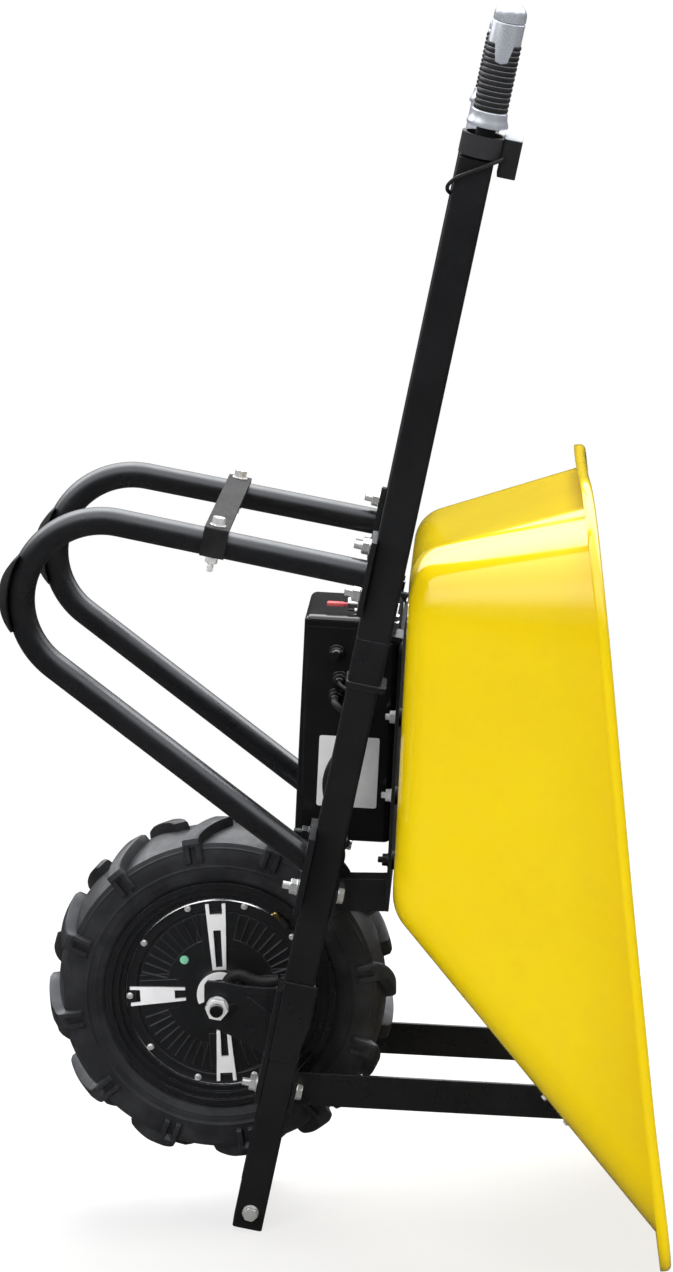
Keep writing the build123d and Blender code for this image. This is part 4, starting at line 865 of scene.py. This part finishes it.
def makePlugs():
    # screwed plugs: a thin flange, a ribbed nut and a tail, all turned about the case's front normal
    axis = np.array([0, -1.0, 0])
    for node, across, up, tail in plugForm["plugs"]:
        spot = np.array(plugForm["origin"]) + across * seatOut + up * seatAlong + plugForm["front"] * sideways
        angle = np.linspace(0, 2 * math.pi, 96, endpoint=False)
        rib = 0.35 * np.cos(18 * angle)
        flange = np.array([(9.6, 0), (10.2, 0.5), (10.2, 2.0), (9.5, 2.7), (7.6, 2.9)])
        nut = np.array([(7.6, 2.9), (8.0, 3.4), (8.2, 4.2), (8.2, 9.4), (7.8, 10.4), (6.9, 11.0)])
        end = np.array([(6.6, 11.0), (6.2, 12.2), (5.2, tail - 1.2), (4.4, tail - 0.3), (3.6, tail)])
        radius = np.concatenate([flange[:, :1] + 0 * angle, nut[:, :1] + rib, end[:, :1] + 0 * angle])
        height = np.concatenate([flange[:, 1], nut[:, 1], end[:, 1]])
        body = tubes(turned(spot, axis, radius, height))
        putShells(node + "_body", [body], glossPlastic, "frame", (node,), "black_plastic", 50)


makePlugs()
makeFasteners()
makeHub(-1, "right_hub", "right_motor_cover")
makeHub(1, "left_hub", "left_motor_cover")
print("fasteners and hub covers")


# Stage
stageForm = {"reach": 30.0, "shade": 0.74, "near": 0.9, "far": 2.4}


def makeStage():
    # pale floor that keeps its soft shadow near the barrow and turns to plain white further off
    reach = stageForm["reach"]
    floor = bpy.data.meshes.new("floor")
    corners = [(-reach, -reach, 0), (reach, -reach, 0), (reach, reach, 0), (-reach, reach, 0)]
    floor.from_pydata(corners, [], [(0, 1, 2, 3)])
    look, tree, shader = newLook("pale_floor")
    fill(tree, shader, Base_Color=(0.88, 0.88, 0.88, 1), Roughness=0.9, Specular_IOR_Level=0.1)
    glow = put(tree, "ShaderNodeEmission", {"Color": (1, 1, 1, 1), "Strength": 1.0})
    path = put(tree, "ShaderNodeLightPath")
    where = put(tree, "ShaderNodeTexCoord").outputs["Object"]
    away = put(tree, "ShaderNodeVectorMath", {0: where}, operation="LENGTH").outputs["Value"]
    white = ramp(tree, away, stageForm["shade"], 1.0, stageForm["near"], stageForm["far"], True)
    amount = times(tree, path.outputs["Is Camera Ray"], white)
    blend = put(tree, "ShaderNodeMixShader", {0: amount, 1: shader.outputs[0], 2: glow.outputs[0]})
    tree.links.new(blend.outputs[0], tree.nodes["Material Output"].inputs["Surface"])
    floor.materials.append(look)
    ground = bpy.data.objects.new("floor", floor)
    ground.location.z = -0.0005
    ground.visible_glossy = False
    scene.collection.objects.link(ground)


lampForm = (
    # name, place, aim, size across and down, watts
    ("key", (-2.4, -3.8, 2.6), (0.0, 0.0, 0.6), (2.2, 2.2), 95),
    ("overhead", (0.1, 0.9, 3.8), (0.1, 0.1, 0.6), (2.6, 2.0), 168),
    ("side", (3.2, -2.8, 2.0), (0.1, 0.0, 0.6), (1.6, 2.2), 39),
    ("back", (0.1, 2.7, 3.3), (0.1, 0.0, 0.7), (2.4, 1.6), 90),
)
# what mirror-like rays see, by tilt from straight up: minus towards the viewer, plus behind, in degrees
skyForm = (
    (-120, 0.03), (-75, 0.04), (-62, 0.10), (-50, 1.6), (-45, 2.1), (-38, 2.5), (-25, 1.9), (-8, 2.3),
    (4, 3.0), (8, 5.6), (15, 6.8), (20, 7.4), (27, 7.0), (32, 6.5), (40, 5.4), (52, 3.2),
    (60, 2.7), (66, 2.6), (69, 1.0), (72, 0.12), (96, 0.04), (120, 0.05),
)
# even light on matt surfaces, the tilt the sky reaches to, and its dimming from and to by sideways share
roomForm = {"ambient": 0.32, "skyHalf": 120, "sideDim": (1, 0.06, 0.72, 0.94)}


def makeLights():
    for name, spot, aim, size, power in lampForm:
        lamp = bpy.data.lights.new(name, "AREA")
        lamp.shape = "RECTANGLE"
        lamp.size, lamp.size_y = size
        lamp.energy = power
        holder = bpy.data.objects.new(name, lamp)
        holder.location = spot
        towards = Vector(aim) - Vector(spot)
        holder.rotation_euler = towards.to_track_quat("-Z", "Y").to_euler()
        holder.visible_glossy = False
        scene.collection.objects.link(holder)
    world = bpy.data.worlds.new("studio")
    scene.world = world
    world.use_nodes = True
    tree = world.node_tree
    tree.nodes.clear()
    path = put(tree, "ShaderNodeLightPath")
    seen = times(tree, path.outputs["Is Camera Ray"], path.outputs["Is Transmission Ray"], "MAXIMUM")
    soft = put(tree, "ShaderNodeBackground", {"Color": (1, 1, 1, 1), "Strength": roomForm["ambient"]})
    way = put(tree, "ShaderNodeSeparateXYZ", {0: put(tree, "ShaderNodeTexCoord").outputs["Generated"]})
    tilt = put(tree, "ShaderNodeMath", {0: way.outputs["Y"], 1: way.outputs["Z"]}, operation="ARCTAN2").outputs[0]
    half = roomForm["skyHalf"]
    share = ramp(tree, tilt, 0, 1, math.radians(-half), math.radians(half))
    curve = put(tree, "ShaderNodeFloatCurve", {"Value": share})
    top = max(level for _, level in skyForm)
    line = curve.mapping.curves[0]
    while len(line.points) < len(skyForm):
        line.points.new(0.5, 0.5)
    for point, (angle, level) in zip(line.points, skyForm):
        point.location = ((angle + half) / (2 * half), level / top)
        point.handle_type = "VECTOR"
    curve.mapping.update()
    # dimmer far to the left and right
    wide = put(tree, "ShaderNodeMath", {0: way.outputs["X"]}, operation="ABSOLUTE").outputs[0]
    strength = times(tree, times(tree, curve.outputs[0], top), ramp(tree, wide, *roomForm["sideDim"]))
    room = put(tree, "ShaderNodeBackground", {"Color": (1, 1, 1, 1), "Strength": strength})
    white = put(tree, "ShaderNodeBackground", {"Color": (1, 1, 1, 1), "Strength": 1.0})
    mirrored = path.outputs["Is Glossy Ray"]
    first = put(tree, "ShaderNodeMixShader", {0: mirrored, 1: soft.outputs[0], 2: room.outputs[0]})
    last = put(tree, "ShaderNodeMixShader", {0: seen, 1: first.outputs[0], 2: white.outputs[0]})
    out = put(tree, "ShaderNodeOutputWorld")
    tree.links.new(last.outputs[0], out.inputs["Surface"])
    scene.view_settings.view_transform = "Standard"


cameraForm = {
    "place": (0.17296, -4.39233, 1.55226), "pitch": 0.1887, "yaw": 0.0416, "focalPixels": 3749.1, "tall": 1272,
}


def makeCamera():
    camera = bpy.data.cameras.new("camera")
    camera.sensor_width = 36
    camera.lens = 36 * cameraForm["focalPixels"] / cameraForm["tall"]
    holder = bpy.data.objects.new("camera", camera)
    holder.location = cameraForm["place"]
    holder.rotation_euler = (math.pi / 2 - cameraForm["pitch"], 0, cameraForm["yaw"])
    scene.collection.objects.link(holder)
    scene.camera = holder


makeStage()
makeLights()
makeCamera()
print("stage, lights and camera")
